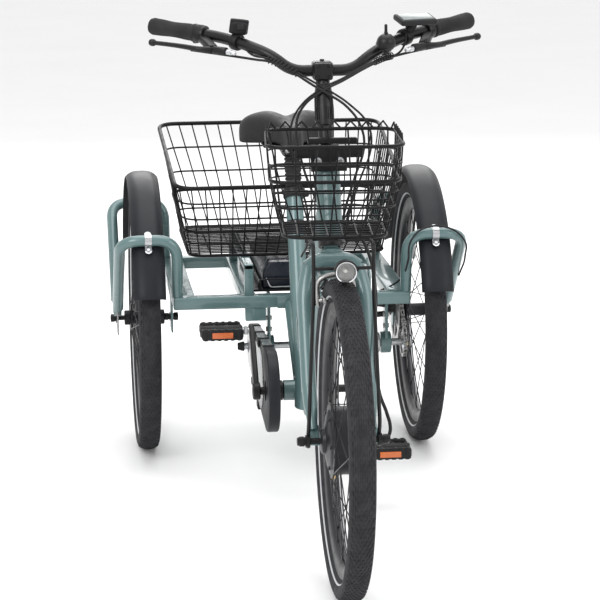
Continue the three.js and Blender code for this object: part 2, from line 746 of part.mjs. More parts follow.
function headset(z, up) {
  const low = up ? headTubeHigh : headTubeLow;
  const start = onSteerAxis(low).addScaledVector(steerUp, up ? gap : -gap);
  const direction = up ? steerUp : steerUp.clone().negate();
  return turnedAbout([
    [steererRadius + 0.8, 0], [headTubeRadius, 0], [headTubeRadius, 5], [steererRadius + 7, headsetHeight - 2],
    [steererRadius + 0.8, headsetHeight - 2], [steererRadius + 0.8, 0],
  ], 14, start, direction);
}

function seatClamp() {
  const from = onSeatAxis(seatTubeTop.z - 26);
  const ring = turnedAbout([[0, 0], [seatTubeRadius + 5, 0], [seatTubeRadius + 5, 22], [0, 22]], 12, from, seatUp);
  const ear = rod(at(-14, from.y + 34, from.z + 8), at(34, from.y + 34, from.z + 8), 5, 8);
  const link = block(16, 14, 12, at(0, from.y + 29, from.z + 8));
  const handle = block(8, 42, 9, at(36, from.y + 16, from.z + 8));
  const inside = around(seatTubeRadius + gap, 12);
  const clear = turnedAbout([[0, -30], [inside, -30], [inside, 60], [0, 60]], 12, from, seatUp);
  return cut(join(ring, link, ear, handle), clear);
}

const basketFloorUnder = rearBasket.bottom.z - rearBasket.wire * 0.7 - gap;

// ---- cargo frame --------------------------------------------------------------------------

function cargoFrame() {
  const { width, height } = deckTube;
  const middleY = (deckFront + deckRear) / 2;
  const length = deckRear - deckFront + width;
  const parts = [];
  for (const y of [deckFront, deckRear]) {
    parts.push(block(2 * deckHalf + width, width, height, at(0, y, deckHeight)));
  }
  const sideRailX = deckHalf + width / 2 - sideRailWidth / 2;
  for (const sign of [-1, 1]) {
    parts.push(block(sideRailWidth, length, height, at(sign * sideRailX, middleY, deckHeight)));
  }
  for (const x of [-midRailX, midRailX]) {
    parts.push(block(width, length, height, at(x, middleY, deckHeight)));
  }
  const railTop = basketFloorUnder;
  for (const x of [-midRailX, midRailX]) {
    for (const y of [deckFront, deckRear - 60]) {
      parts.push(block(postWidth, 20, railTop - deckHeight, at(x, y, (railTop + deckHeight) / 2)));
    }
    const run = deckRear - 60 - deckFront + 20;
    parts.push(block(postWidth, run, 12, at(x, (deckFront + deckRear - 60) / 2, railTop - 6)));
  }
  parts.push(block(46, 24, 40, at(-midRailX + 14, deckFront, deckHeight - 24)));
  parts.push(...dropouts(), ...shaftHangers());
  const shaftHole = rod(at(-200, shaft.y, shaft.z), at(400, shaft.y, shaft.z), shaft.radius + bearingClearance, 12);
  const axleHole = rod(at(-500, wheelbase, axleHeight), at(500, wheelbase, axleHeight), hubBore, 12);
  return cut(join(parts), shaftHole, axleHole);
}

function dropouts() {
  const x = halfTrack - dropoutOffset;
  const tall = deckHeight - axleHeight + 32;
  const middle = (deckHeight + axleHeight - 32) / 2;
  return [-1, 1].map((sign) => block(plateThickness, 84, tall, at(sign * x, wheelbase, middle)));
}

function shaftHangers() {
  const parts = [];
  for (const x of [-midRailX + 58, outerHanger]) {
    const tall = deckHeight - shaft.z;
    parts.push(block(8, 50, tall, at(x, shaft.y, (deckHeight + shaft.z) / 2)));
    parts.push(rod(at(x - 12, shaft.y, shaft.z), at(x + 12, shaft.y, shaft.z), 25, 12));
  }
  parts.push(block(2 * midRailX, 24, 20, at(0, shaft.y, deckHeight)));
  return parts;
}

// One side's wheel guard: a hoop ahead of the wheel and one behind it, and the outer dropout.
function wheelGuard(sign) {
  const outer = sign * (halfTrack + dropoutOffset);
  const inner = sign * (deckHalf + deckTube.width / 2 - hoopRadius + 3);
  const across = hoopDistance * Math.cos(hoopAngle);
  const up = axleHeight + hoopDistance * Math.sin(hoopAngle);
  const footZ = deckHeight + deckTube.height / 2 + gap;
  const parts = [];
  for (const [end, railY] of [[-1, deckFront], [1, deckRear]]) {
    const topY = wheelbase + end * across;
    parts.push(bentTube([
      at(outer, wheelbase + end * 30, axleHeight + 20), at(outer, topY, up),
      at(inner, topY, up), at(inner, railY, footZ - 12),
    ], hoopRadius, hoopBend, 7, 16));
  }
  parts.push(block(plateThickness, 84, 66, at(outer, wheelbase, axleHeight)));
  const hole = rod(at(outer - 60, wheelbase, axleHeight), at(outer + 60, wheelbase, axleHeight), hubBore, 12);
  const deck = block(120, 2 * wheelbase, 60, at(inner, wheelbase, footZ - 30));
  return cut(join(parts), hole, deck);
}

// Rear mudguard: a shallow channel turned about the axle and kept between two angles,
// measured from straight ahead up over the wheel.
function fender(sign) {
  const r = fenderRadius - gap;
  const w = fenderHalf;
  const t = fenderWall;
  const profile = [
    [r - 22, w], [r - 8, w - 4], [r, w - 18], [r, -w + 18], [r - 8, -w + 4], [r - 22, -w],
    [r - 22, -w + t], [r - 9, -w + 4 + t], [r - t, -w + 18], [r - t, w - 18], [r - 9, w - 4 - t],
    [r - 22, w - t], [r - 22, w],
  ];
  const ring = turnedAboutX(profile, 36, 0, 0, 0);
  const steps = 6;
  const wedge = [new THREE.Vector2(0, 0)];
  for (let i = 0; i <= steps; i += 1) {
    const angle = Math.PI - fenderStart - ((fenderEnd - fenderStart) * i) / steps;
    wedge.push(new THREE.Vector2(600 * Math.cos(angle), 600 * Math.sin(angle)));
  }
  const keep = plateAlongX(new THREE.Shape(wedge), -100, 200);
  return ring.intersect(keep).translate([sign * halfTrack, wheelbase, axleHeight]);
}

// Clip that straps the mudguard to its front hoop, with a bolt above and below the tube.
function fenderClip(sign) {
  const x = sign * halfTrack;
  const along = at(0, -Math.cos(hoopAngle), Math.sin(hoopAngle));
  const place = (distance, lift) => {
    const tangent = at(0, Math.sin(hoopAngle), Math.cos(hoopAngle));
    return at(x, wheelbase, axleHeight).addScaledVector(along, distance).addScaledVector(tangent, lift);
  };
  const turn = Math.PI / 2 - hoopAngle;
  const strap = (lift, size, distance) => {
    const p = place(distance, lift);
    return block(15, size, 2.4, p, turn);
  };
  const outside = hoopDistance + hoopRadius + 1.5 + gap;
  const parts = [strap(0, 34, outside)];
  for (const end of [-1, 1]) {
    parts.push(strap(end * 24, 20, fenderRadius + 1.6));
    parts.push(rod(place(fenderRadius + 1.6, end * 15.5), place(outside, end * 15.5), 2.6, 6));
    parts.push(rod(place(fenderRadius + 1, end * 27), place(fenderRadius + 6, end * 27), 4.5, 6));
  }
  return join(parts);
}

// ---- drive train --------------------------------------------------------------------------

const belt = (grow) => beltShape(bottomBracket.y, bottomBracket.z, chainringRadius + grow,
  shaft.y, shaft.z, driveSprocketRadius + grow);

function chain() {
  const low = chainX - chainWidth / 2;
  const outer = plateAlongX(belt(chainHeight + 1), low, chainWidth);
  return cut(outer, plateAlongX(belt(1.2), low - 5, chainWidth + 10));
}

function chainCase() {
  const low = chainX - caseThickness / 2;
  const grow = chainHeight + caseClearance;
  const outer = plateAlongX(belt(grow), low, caseThickness);
  const inner = plateAlongX(belt(grow - 2.5), low + 2.5, caseThickness);
  const spindle = rod(at(low - 10, bottomBracket.y, bottomBracket.z),
    at(low + 10, bottomBracket.y, bottomBracket.z), 24, 16);
  const rear = rod(at(low - 10, shaft.y, shaft.z), at(low + 10, shaft.y, shaft.z), 12, 12);
  return cut(outer, inner, spindle, rear);
}

function finalChain() {
  const x = halfTrack - finalSprocketInset;
  const grow = (extra) => beltShape(wheelbase, axleHeight, hubSprocketRadius + extra,
    shaft.y, shaft.z, finalSprocketRadius + extra, 8);
  const outer = plateAlongX(grow(chainHeight), x - chainWidth / 2, chainWidth);
  return cut(outer, plateAlongX(grow(1.2), x - 10, 20));
}

function jackshaft() {
  const line = (a, b, r, sides) => rod(at(a, shaft.y, shaft.z), at(b, shaft.y, shaft.z), r, sides);
  const finalX = halfTrack - finalSprocketInset;
  return join(
    line(shaft.left, shaft.right, shaft.radius, 12),
    line(chainX - 2, chainX + 2, driveSprocketRadius, 14),
    line(finalX - 2, finalX + 1.5, finalSprocketRadius, 12),
    line(shaft.left, shaft.left + 14, 11, 12),
    line(210, 217, 24, 10),
  );
}

const crankOut = at(0, Math.cos(crankAngle), Math.sin(crankAngle));
const bbPoint = (x) => at(x, bottomBracket.y, bottomBracket.z);

function crankArm(sign, reach) {
  const eye = bbPoint(sign * crankArmX);
  const end = eye.clone().addScaledVector(crankOut, reach * crankLength);
  const arm = rod(eye, end, 13, 8, 10);
  const flat = block(12, 500, 500, at(sign * crankArmX, bottomBracket.y, bottomBracket.z));
  const boss = rod(bbPoint(sign * (crankArmX - 8)), bbPoint(sign * (crankArmX + 8)), 19, 12);
  const tip = rod(at(end.x - 6, end.y, end.z), at(end.x + 6, end.y, end.z), 14, 12);
  return join(arm.intersect(flat), boss, tip);
}

const pedalBore = 7.6;

function crankset() {
  const ring = turnedAboutX(ringProfile(chainringRadius - 16, chainringRadius, -2, 2), 20,
    chainX, bottomBracket.y, bottomBracket.z);
  const spider = [0, 1, 2].map((i) => {
    const angle = (Math.PI * i) / 3 + 0.2;
    return block(4, 2 * chainringRadius - 16, 16, at(0, 0, 0), angle)
      .translate([chainX, bottomBracket.y, bottomBracket.z]);
  });
  const spindle = rod(bbPoint(-crankArmX), bbPoint(crankArmX - 8), 8, 12);
  const inner = rod(bbPoint(chainX), bbPoint(-crankArmX), 15, 12);
  const body = join(crankArm(-1, 1), ring, spider, spindle, inner);
  return cut(body, pedalHole(-1, 1));
}

function crankArmLeft() {
  const bore = rod(bbPoint(0), bbPoint(crankArmX - 8 + gap), 8 + gap, 12);
  return cut(crankArm(1, -1), bore, pedalHole(1, -1));
}

function pedalCentre(sign, reach) {
  return bbPoint(sign * pedalX).addScaledVector(crankOut, reach * crankLength);
}

function pedalHole(sign, reach) {
  const c = pedalCentre(sign, reach);
  return rod(at(sign * (crankArmX - 12), c.y, c.z), at(sign * (crankArmX + 20), c.y, c.z), pedalBore, 12);
}

// Platform pedal: two long cages with four ribs, on an axle that turns in the crank.
function pedal(sign, reach) {
  const c = pedalCentre(sign, reach);
  const parts = [rod(at(sign * (crankArmX - 6), c.y, c.z), at(c.x, c.y, c.z), 6.5, 12)];
  parts.push(block(pedalWidth, 22, 22, c));
  for (const end of [-1, 1]) {
    parts.push(block(pedalWidth, 10, pedalBodyThickness, at(c.x, c.y + end * 38, c.z)));
  }
  for (const x of [-1, -0.33, 0.33, 1]) {
    parts.push(block(8, 80, 16, at(c.x + x * (pedalWidth / 2 - 4), c.y, c.z)));
  }
  return join(parts);
}

// ---- seat ---------------------------------------------------------------------------------

const bootLow = onSeatAxis(seatTubeTop.z + 3);

function seatPost() {
  const from = onSeatAxis(seatTubeTop.z - seatPostDepth + 12);
  const body = rod(from, onSeatAxis(seatTubeTop.z + 36), seatPostRadius, 12);
  const bore = rod(onSeatAxis(seatTubeTop.z - 30), onSeatAxis(seatTubeTop.z + 60), 10.2, 12);
  return cut(body, bore);
}

function seatBoot() {
  const inside = seatPostRadius + 0.6;
  const profile = [[inside, 0]];
  const folds = 4;
  const pitch = 15;
  for (let i = 0; i < folds; i += 1) {
    profile.push([17, i * pitch], [20.5, i * pitch + pitch / 2]);
  }
  profile.push([17, folds * pitch], [inside, folds * pitch], [inside, 0]);
  return turnedAbout(profile, 12, bootLow, seatUp);
}

// Sprung upper post with the clamp and the two rails under the saddle.
function saddleClamp() {
  const top = onSeatAxis(saddleHeight - 22);
  const piston = rod(onSeatAxis(seatTubeTop.z + 8), top, 9.2, 12);
  const head = block(44, 52, 14, at(0, top.y + 6, top.z + 5));
  const rails = [-1, 1].map((sign) => join(
    rod(at(sign * 20, top.y - 60, top.z + 8), at(sign * 20, top.y + 90, top.z + 8), 4, 6),
    rod(at(sign * 20, top.y - 60, top.z + 8), at(sign * 14, top.y - 78, saddleHeight - 5), 4, 6),
    rod(at(sign * 20, top.y + 90, top.z + 8), at(sign * 30, top.y + 110, saddleHeight - 5), 4, 6),
  ));
  return join(piston, head, rails);
}

// Wide cushion: a rounded rear and a short nose, with a bevelled edge.
function saddle() {
  const outline = new THREE.Shape();
  const rear = 1100;
  const nose = 846;
  const half = 95;
  outline.moveTo(-20, nose);
  outline.quadraticCurveTo(0, nose - 12, 20, nose);
  outline.bezierCurveTo(36, nose + 90, 52, rear - 150, half - 8, rear - 110);
  outline.bezierCurveTo(half + 14, rear - 60, half, rear, half - 34, rear);
  outline.lineTo(-(half - 34), rear);
  outline.bezierCurveTo(-half, rear, -(half + 14), rear - 60, -(half - 8), rear - 110);
  outline.bezierCurveTo(-52, rear - 150, -36, nose + 90, -20, nose);
  const bevel = 9;
  const geometry = new THREE.ExtrudeGeometry(outline, {
    depth: saddleThickness - 2 * bevel, bevelEnabled: true, bevelSize: bevel, bevelThickness: bevel,
    bevelOffset: -2, bevelSegments: 2, curveSegments: 5,
  });
  geometry.translate(0, 0, saddleHeight + bevel);
  return solid(geometry);
}

// ---- battery and electrics ----------------------------------------------------------------

const trayTop = deckHeight + deckTube.height / 2 + 6;
const batteryFront = deckFront + 37;
const batteryLength = 340;

function batteryPack() {
  const outline = new THREE.Shape();
  const height = basketFloorUnder - trayTop - 2 * gap - 4;
  const half = 62;
  outline.moveTo(-half, 0);
  outline.lineTo(half, 0);
  outline.lineTo(half, height - 14);
  outline.lineTo(half - 14, height);
  outline.lineTo(-half + 14, height);
  outline.lineTo(-half, height - 14);
  const geometry = new THREE.ExtrudeGeometry(outline, { depth: batteryLength, bevelEnabled: false });
  geometry.rotateX(Math.PI / 2);
  geometry.translate(0, batteryFront + batteryLength, trayTop + gap);
  return solid(geometry);
}

function batteryTray() {
  const z = trayTop - 3;
  const length = batteryLength + 16;
  const middle = batteryFront + batteryLength / 2;
  const front = middle - length / 2;
  const plate = block(2 * (midRailX - postWidth / 2 - 1), length, 5, at(0, middle, z));
  const lips = [-1, 1].map((sign) => block(4, length, 18, at(sign * 68, middle, z + 8)));
  const latch = bentTube([
    at(-70, front + 5, z), at(-72, front - 5, z + 26), at(72, front - 5, z + 26), at(70, front + 5, z),
  ], 2.2, 10, 6, 14);
  return join(plate, lips, latch);
}

function brakeCalliper() {
  const x = halfTrack - dropoutOffset - plateThickness / 2 - gap;
  const arm = block(9, 70, 26, at(x - 4.5, wheelbase - 52, axleHeight + 36));
  const lug = block(9, 30, 46, at(x - 4.5, wheelbase - 30, axleHeight + 20));
  const drum = rod(at(x - 16, wheelbase - 80, axleHeight + 34), at(x, wheelbase - 80, axleHeight + 34), 13, 10);
  return join(arm, lug, drum);
}

// ---- cables -------------------------------------------------------------------------------

function motorCable() {
  return cable([
    at(frontAxleReach + 4, 0, axleHeight), at(frontAxleReach + 18, 6, axleHeight + 6),
    at(98, 30, axleHeight + 44), at(86, 56, axleHeight + 90), at(84, 100, 450), at(82, 150, 540),
    at(78, 200, 600), at(56, 236, 652),
  ], 3.5, 20);
}

function cableLoop(sign) {
  return cable([
    at(sign * (leverPivot.x - 50), leverPivot.y - 15, leverPivot.z),
    at(sign * 122, 322, 978), at(sign * 92, 284, 948), at(sign * 62, 260, 916),
    at(sign * 50, 244, 880), at(sign * 46, 262, 836), at(sign * 42, 300, 780),
    at(sign * 36, 316, 720), at(sign * 32, 334, 668),
  ], 3, 22);
}

// ---- assembly -----------------------------------------------------------------------------

function steering() {
  addPart('fork', fork(), tealPaint);
  addPart('front_axle', frontAxle(), blackPaint);
  addPart('front_brake', frontBrake(), silver);
  addPart('stem', stem(), blackPaint);
  addPart('handlebar', handlebar(), blackPaint);
  for (const [side, sign] of [['left', 1], ['right', -1]]) {
    addPart(`grip_${side}`, grip(sign), blackRubber);
    addPart(`brake_mount_${side}`, brakeMount(sign), blackPaint);
    addPart(`brake_lever_${side}`, brakeLever(sign), blackPaint);
    addPart(`brake_cable_${side}`, cableLoop(sign), blackRubber);
  }
  addPart('display', display(), blackPlastic);
  addPart('switch_box', switchBox(), blackPlastic);
  addPart('switch_button', switchButton(), blackPlastic);
  addPart('throttle', throttle(), blackPlastic);
  addPart('bell', bellBody(), blackPaint);
  addPart('bell_lever', bellLever(), blackPlastic);
  addPart('front_basket', hungBasket(), blackPaint);
  addPart('basket_bracket', basketBracket(), blackPaint);
  addPart('basket_stays', basketStays(), blackPaint);
  addPart('headlight_housing', headlightShell(), blackPlastic);
  addPart('headlight_lens', headlightLens(), glassClear);
  addPart('motor_cable', motorCable(), blackRubber);
}

function chassis() {
  addPart('main_frame', mainFrame(), tealPaint);
  addPart('headset_upper', headset(headTubeHigh, true), blackPaint);
  addPart('headset_lower', headset(headTubeLow, false), blackPaint);
  addPart('seat_clamp', seatClamp(), blackPaint);
  addPart('cargo_frame', cargoFrame(), tealPaint);
  for (const [side, sign] of [['left', 1], ['right', -1]]) {
    addPart(`wheel_guard_${side}`, wheelGuard(sign), tealPaint);
    addPart(`fender_${side}`, fender(sign), blackPlastic);
    addPart(`fender_clip_${side}`, fenderClip(sign), silver);
  }
  addPart('rear_basket', wireBasket(rearBasket), blackPaint);
  addPart('battery_pack', batteryPack(), batteryShell);
  addPart('battery_tray', batteryTray(), blackPaint);
  addPart('brake_calliper', brakeCalliper(), blackPaint);
}

function driveTrain() {
  addPart('crankset', crankset(), blackPaint);
  addPart('crank_arm_left', crankArmLeft(), blackPaint);
  addPart('pedal_right', pedal(-1, 1), blackPlastic);
  addPart('pedal_left', pedal(1, -1), blackPlastic);
  addPart('chain', chain(), chrome);
  addPart('chain_case', chainCase(), blackPlastic);
  addPart('jackshaft', jackshaft(), silver);
  addPart('final_chain', finalChain(), chrome);
}

function seat() {
  addPart('seat_post', seatPost(), blackPaint);
  addPart('seat_boot', seatBoot(), blackRubber);
  addPart('saddle_clamp', saddleClamp(), blackPaint);
  addPart('saddle', saddle(), blackRubber);
}

wheels();
steering();
chassis();
driveTrain();
seat();

const extent = new THREE.Box3().setFromObject(tricycle);
tricycle.position.y = -(extent.min.y + extent.max.y) / 2;
tricycle.updateMatrixWorld(true);

export default tricycle;
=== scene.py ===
import math

import bpy
from mathutils import Matrix, Vector


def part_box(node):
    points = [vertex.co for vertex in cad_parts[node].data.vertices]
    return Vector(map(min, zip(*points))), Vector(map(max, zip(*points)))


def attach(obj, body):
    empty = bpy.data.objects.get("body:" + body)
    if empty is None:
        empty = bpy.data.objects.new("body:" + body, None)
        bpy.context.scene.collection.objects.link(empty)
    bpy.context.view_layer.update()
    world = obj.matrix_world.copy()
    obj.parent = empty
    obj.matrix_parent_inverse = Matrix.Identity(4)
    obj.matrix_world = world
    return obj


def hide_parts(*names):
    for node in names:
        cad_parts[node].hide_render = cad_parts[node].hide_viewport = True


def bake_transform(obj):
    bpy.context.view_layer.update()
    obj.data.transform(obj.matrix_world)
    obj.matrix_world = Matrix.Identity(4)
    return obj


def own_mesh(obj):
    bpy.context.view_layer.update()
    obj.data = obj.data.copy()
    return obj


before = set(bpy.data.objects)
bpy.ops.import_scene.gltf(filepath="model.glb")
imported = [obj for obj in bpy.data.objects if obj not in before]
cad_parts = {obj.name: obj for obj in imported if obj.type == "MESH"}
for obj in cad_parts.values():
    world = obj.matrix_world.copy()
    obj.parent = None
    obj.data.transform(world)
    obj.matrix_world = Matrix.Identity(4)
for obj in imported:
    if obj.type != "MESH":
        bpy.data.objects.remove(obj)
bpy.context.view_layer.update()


def middle(node):
    low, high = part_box(node)
    return (Vector(low) + Vector(high)) / 2


frontAxle = middle("front_tyre")
rearAxle = {"left": middle("rear_tyre_left"), "right": middle("rear_tyre_right")}
sides = {"left": 1, "right": -1}
axleHeight = 0.305
wheelbase = 1.2
axleHole = 0.0066


def at(x, y, z):
    # places are metres, y counted back from the front axle
    return Vector((x, frontAxle.y + y, z))


# small tools

def deselect():
    if bpy.context.object and bpy.context.object.mode != "OBJECT":
        bpy.ops.object.mode_set(mode="OBJECT")
    bpy.ops.object.select_all(action="DESELECT")


def pick(*objects):
    deselect()
    for obj in objects:
        obj.select_set(True)
    bpy.context.view_layer.objects.active = objects[-1]


def edit(kind="VERT"):
    bpy.ops.object.mode_set(mode="EDIT")
    bpy.ops.mesh.select_mode(type=kind)


def chooseFaces(obj, wanted):
    # leaves the object in edit mode with the wanted faces selected
    pick(obj)
    edit("FACE")
    bpy.ops.mesh.select_all(action="DESELECT")
    bpy.ops.object.mode_set(mode="OBJECT")
    for face in obj.data.polygons:
        face.select = wanted(face)
    bpy.ops.object.mode_set(mode="EDIT")


def settle(obj):
    pick(obj)
    bpy.ops.object.transform_apply(location=True, rotation=True, scale=True)
    return obj


def glue(parts):
    pick(*parts)
    bpy.ops.object.join()
    return settle(bpy.context.object)


def smooth(obj, angle=38):
    pick(obj)
    bpy.ops.object.shade_smooth_by_angle(angle=math.radians(angle))
    return obj


def discard(*objects):
    pick(*objects)
    bpy.ops.object.delete()


def weldAndLeave():
    # in edit mode: joins doubled vertices, turns the faces outward, then leaves
    bpy.ops.mesh.select_all(action="SELECT")
    bpy.ops.mesh.remove_doubles(threshold=0.00002)
    bpy.ops.mesh.normals_make_consistent(inside=False)
    bpy.ops.object.mode_set(mode="OBJECT")


def thicken(obj, wall):
    pick(obj)
    bpy.ops.object.modifier_add(type="SOLIDIFY")
    obj.modifiers[-1].thickness = wall
    obj.modifiers[-1].offset = -1
    bpy.ops.object.modifier_apply(modifier=obj.modifiers[-1].name)


def softenEdges(obj, width, segments):
    pick(obj)
    bpy.ops.object.modifier_add(type="BEVEL")
    obj.modifiers[-1].width = width
    obj.modifiers[-1].segments = segments
    obj.modifiers[-1].limit_method = "ANGLE"
    bpy.ops.object.modifier_apply(modifier=obj.modifiers[-1].name)


def finishPiece(obj, name, body, material, stands=(), angle=38):
    settle(obj)
    obj.name = name
    obj.data.name = name
    obj.data.materials.clear()
    obj.data.materials.append(material)
    smooth(obj, angle)
    if body is not None:
        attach(obj, body)
    if stands:
        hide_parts(*stands)
    return obj


def paintPart(node, material):
    for place in bpy.data.objects[node].material_slots:
        place.material = material


def box(size, place, bevel=0.001, segments=2, turn=(0, 0, 0)):
    deselect()
    bpy.ops.mesh.primitive_cube_add(size=1, location=place, rotation=turn, scale=size)
    obj = bpy.context.object
    pick(obj)
    bpy.ops.object.transform_apply(location=False, rotation=False, scale=True)
    bpy.ops.object.mode_set(mode="EDIT")
    bpy.ops.mesh.select_all(action="SELECT")
    bpy.ops.mesh.bevel(offset=bevel, segments=segments, affect="EDGES")
    bpy.ops.object.mode_set(mode="OBJECT")
    return settle(obj)


def drawLine(places):
    # a line of vertices through the places, left selected in edit mode
    deselect()
    bpy.ops.mesh.primitive_plane_add(size=0.01, location=(0, 0, 0))
    obj = bpy.context.object
    edit()
    bpy.ops.mesh.select_all(action="SELECT")
    bpy.ops.mesh.merge(type="CENTER")
    bpy.ops.transform.translate(value=places[0])
    for here, there in zip(places, places[1:]):
        step = [b - a for a, b in zip(here, there)]
        bpy.ops.mesh.extrude_vertices_move(TRANSFORM_OT_translate={"value": step})
    bpy.ops.mesh.select_all(action="SELECT")
    return obj


def turned(profile, place, axis, steps=48, closed=False):
    # profile: [radius, along axis] pairs, spun about the axis through place
    outline = profile + profile[:1] if closed else profile
    obj = drawLine([(radius, 0, along) for radius, along in outline])
    bpy.ops.mesh.remove_doubles(threshold=0.000001)
    bpy.ops.mesh.select_all(action="SELECT")
    bpy.ops.mesh.spin(steps=steps, angle=2 * math.pi, center=(0, 0, 0), axis=(0, 0, 1))
    weldAndLeave()
    obj.matrix_world = Matrix.Translation(place) @ Vector(axis).to_track_quat("Z", "Y").to_matrix().to_4x4()
    return settle(obj)


def ring(inner, outer, half, place, axis, steps=32, trim=(0, 0)):
    # a band about the axis; trim takes its outer corners off, radially and along
    flat, low = outer - trim[0], half - trim[1]
    near, far = [(inner, -half), (flat, -half)], [(flat, half), (inner, half)]
    corners = [(outer, -low), (outer, low)] if trim[0] else []
    return turned(near + corners + far, place, axis, steps, closed=True)


def prism(places, push, bevel):
    # a flat outline pushed straight out
    obj = drawLine(places)
    bpy.ops.mesh.edge_face_add()
    bpy.ops.mesh.select_all(action="SELECT")
    bpy.ops.mesh.extrude_region_move(TRANSFORM_OT_translate={"value": push})
    bpy.ops.mesh.select_all(action="SELECT")
    bpy.ops.mesh.normals_make_consistent(inside=False)
    bpy.ops.object.mode_set(mode="OBJECT")
    if bevel:
        softenEdges(obj, bevel, 3)
    return settle(obj)


def roundCorners(points, bend, steps=6):
    path = [points[0]]
    for before, corner, after in zip(points, points[1:], points[2:]):
        reach = min(bend, (corner - before).length / 2.05, (after - corner).length / 2.05)
        start = corner + (before - corner).normalized() * reach
        end = corner + (after - corner).normalized() * reach
        for i in range(steps + 1):
            t = i / steps
            path.append(start * (1 - t) ** 2 + corner * 2 * t * (1 - t) + end * t ** 2)
    path.append(points[-1])
    return path


def tube(points, radius, bend=0.03, sides=6, steps=6, taper=None, closed=False):
    # round bar along points, corners rounded; taper gives radius factors at the two ends
    deselect()
    path = roundCorners(points, bend, steps) if bend and len(points) > 2 else points
    data = bpy.data.curves.new("tube", "CURVE")
    data.dimensions = "3D"
    data.bevel_depth = radius
    data.bevel_resolution = sides
    data.use_fill_caps = not closed
    spline = data.splines.new("POLY")
    spline.points.add(len(path) - 1)
    spline.use_cyclic_u = closed
    for i, point in enumerate(path):
        spline.points[i].co = (*point, 1)
        if taper:
            t = i / (len(path) - 1)
            spline.points[i].radius = taper[0] * (1 - t) + taper[1] * t
    obj = bpy.data.objects.new("tube", data)
    bpy.context.collection.objects.link(obj)
    pick(obj)
    bpy.ops.object.convert(target="MESH")
    return bpy.context.object


def cord(points, radius, sides=3, steps=10):
    # smooth bar or lead through the points
    deselect()
    data = bpy.data.curves.new("lead", "CURVE")
    data.dimensions = "3D"
    data.bevel_depth = radius
    data.bevel_resolution = sides
    data.resolution_u = steps
    data.use_fill_caps = True
    spline = data.splines.new("BEZIER")
    spline.bezier_points.add(len(points) - 1)
    for i, point in enumerate(points):
        spline.bezier_points[i].co = point
        spline.bezier_points[i].handle_left_type = "AUTO"
        spline.bezier_points[i].handle_right_type = "AUTO"
    obj = bpy.data.objects.new("lead", data)
    bpy.context.collection.objects.link(obj)
    pick(obj)
    bpy.ops.object.convert(target="MESH")
    return bpy.context.object


def cutWith(obj, tool):
    pick(obj)
    bpy.ops.object.modifier_add(type="BOOLEAN")
    modifier = obj.modifiers[-1]
    modifier.object = tool
    modifier.operation = "DIFFERENCE"
    modifier.solver = "EXACT"
    bpy.ops.object.modifier_apply(modifier=modifier.name)
    discard(tool)
    return obj


def across(x0, x1, y, z, radius, sides=7):
    return tube([at(x0, y, z), at(x1, y, z)], radius, 0, sides)


def duplicate(obj):
    pick(obj)
    bpy.ops.object.duplicate(linked=False)
    return bpy.context.object


def moved(obj, matrix):
    obj.matrix_world = matrix @ obj.matrix_world
    return settle(obj)


def bolt(place, axis, radius=0.004, height=0.0035):
    socket = radius * 0.55
    return turned([(0, height), (socket, height), (socket, height * 0.45), (radius * 0.62, height),
                   (radius * 0.9, height), (radius, height * 0.7), (radius, 0), (0, 0)], place, axis, 12)


# finishes

def nodeSet(material):
    tree = material.node_tree
    shader = next(n for n in tree.nodes if n.type == "BSDF_PRINCIPLED")
    return tree.nodes, tree.links, shader


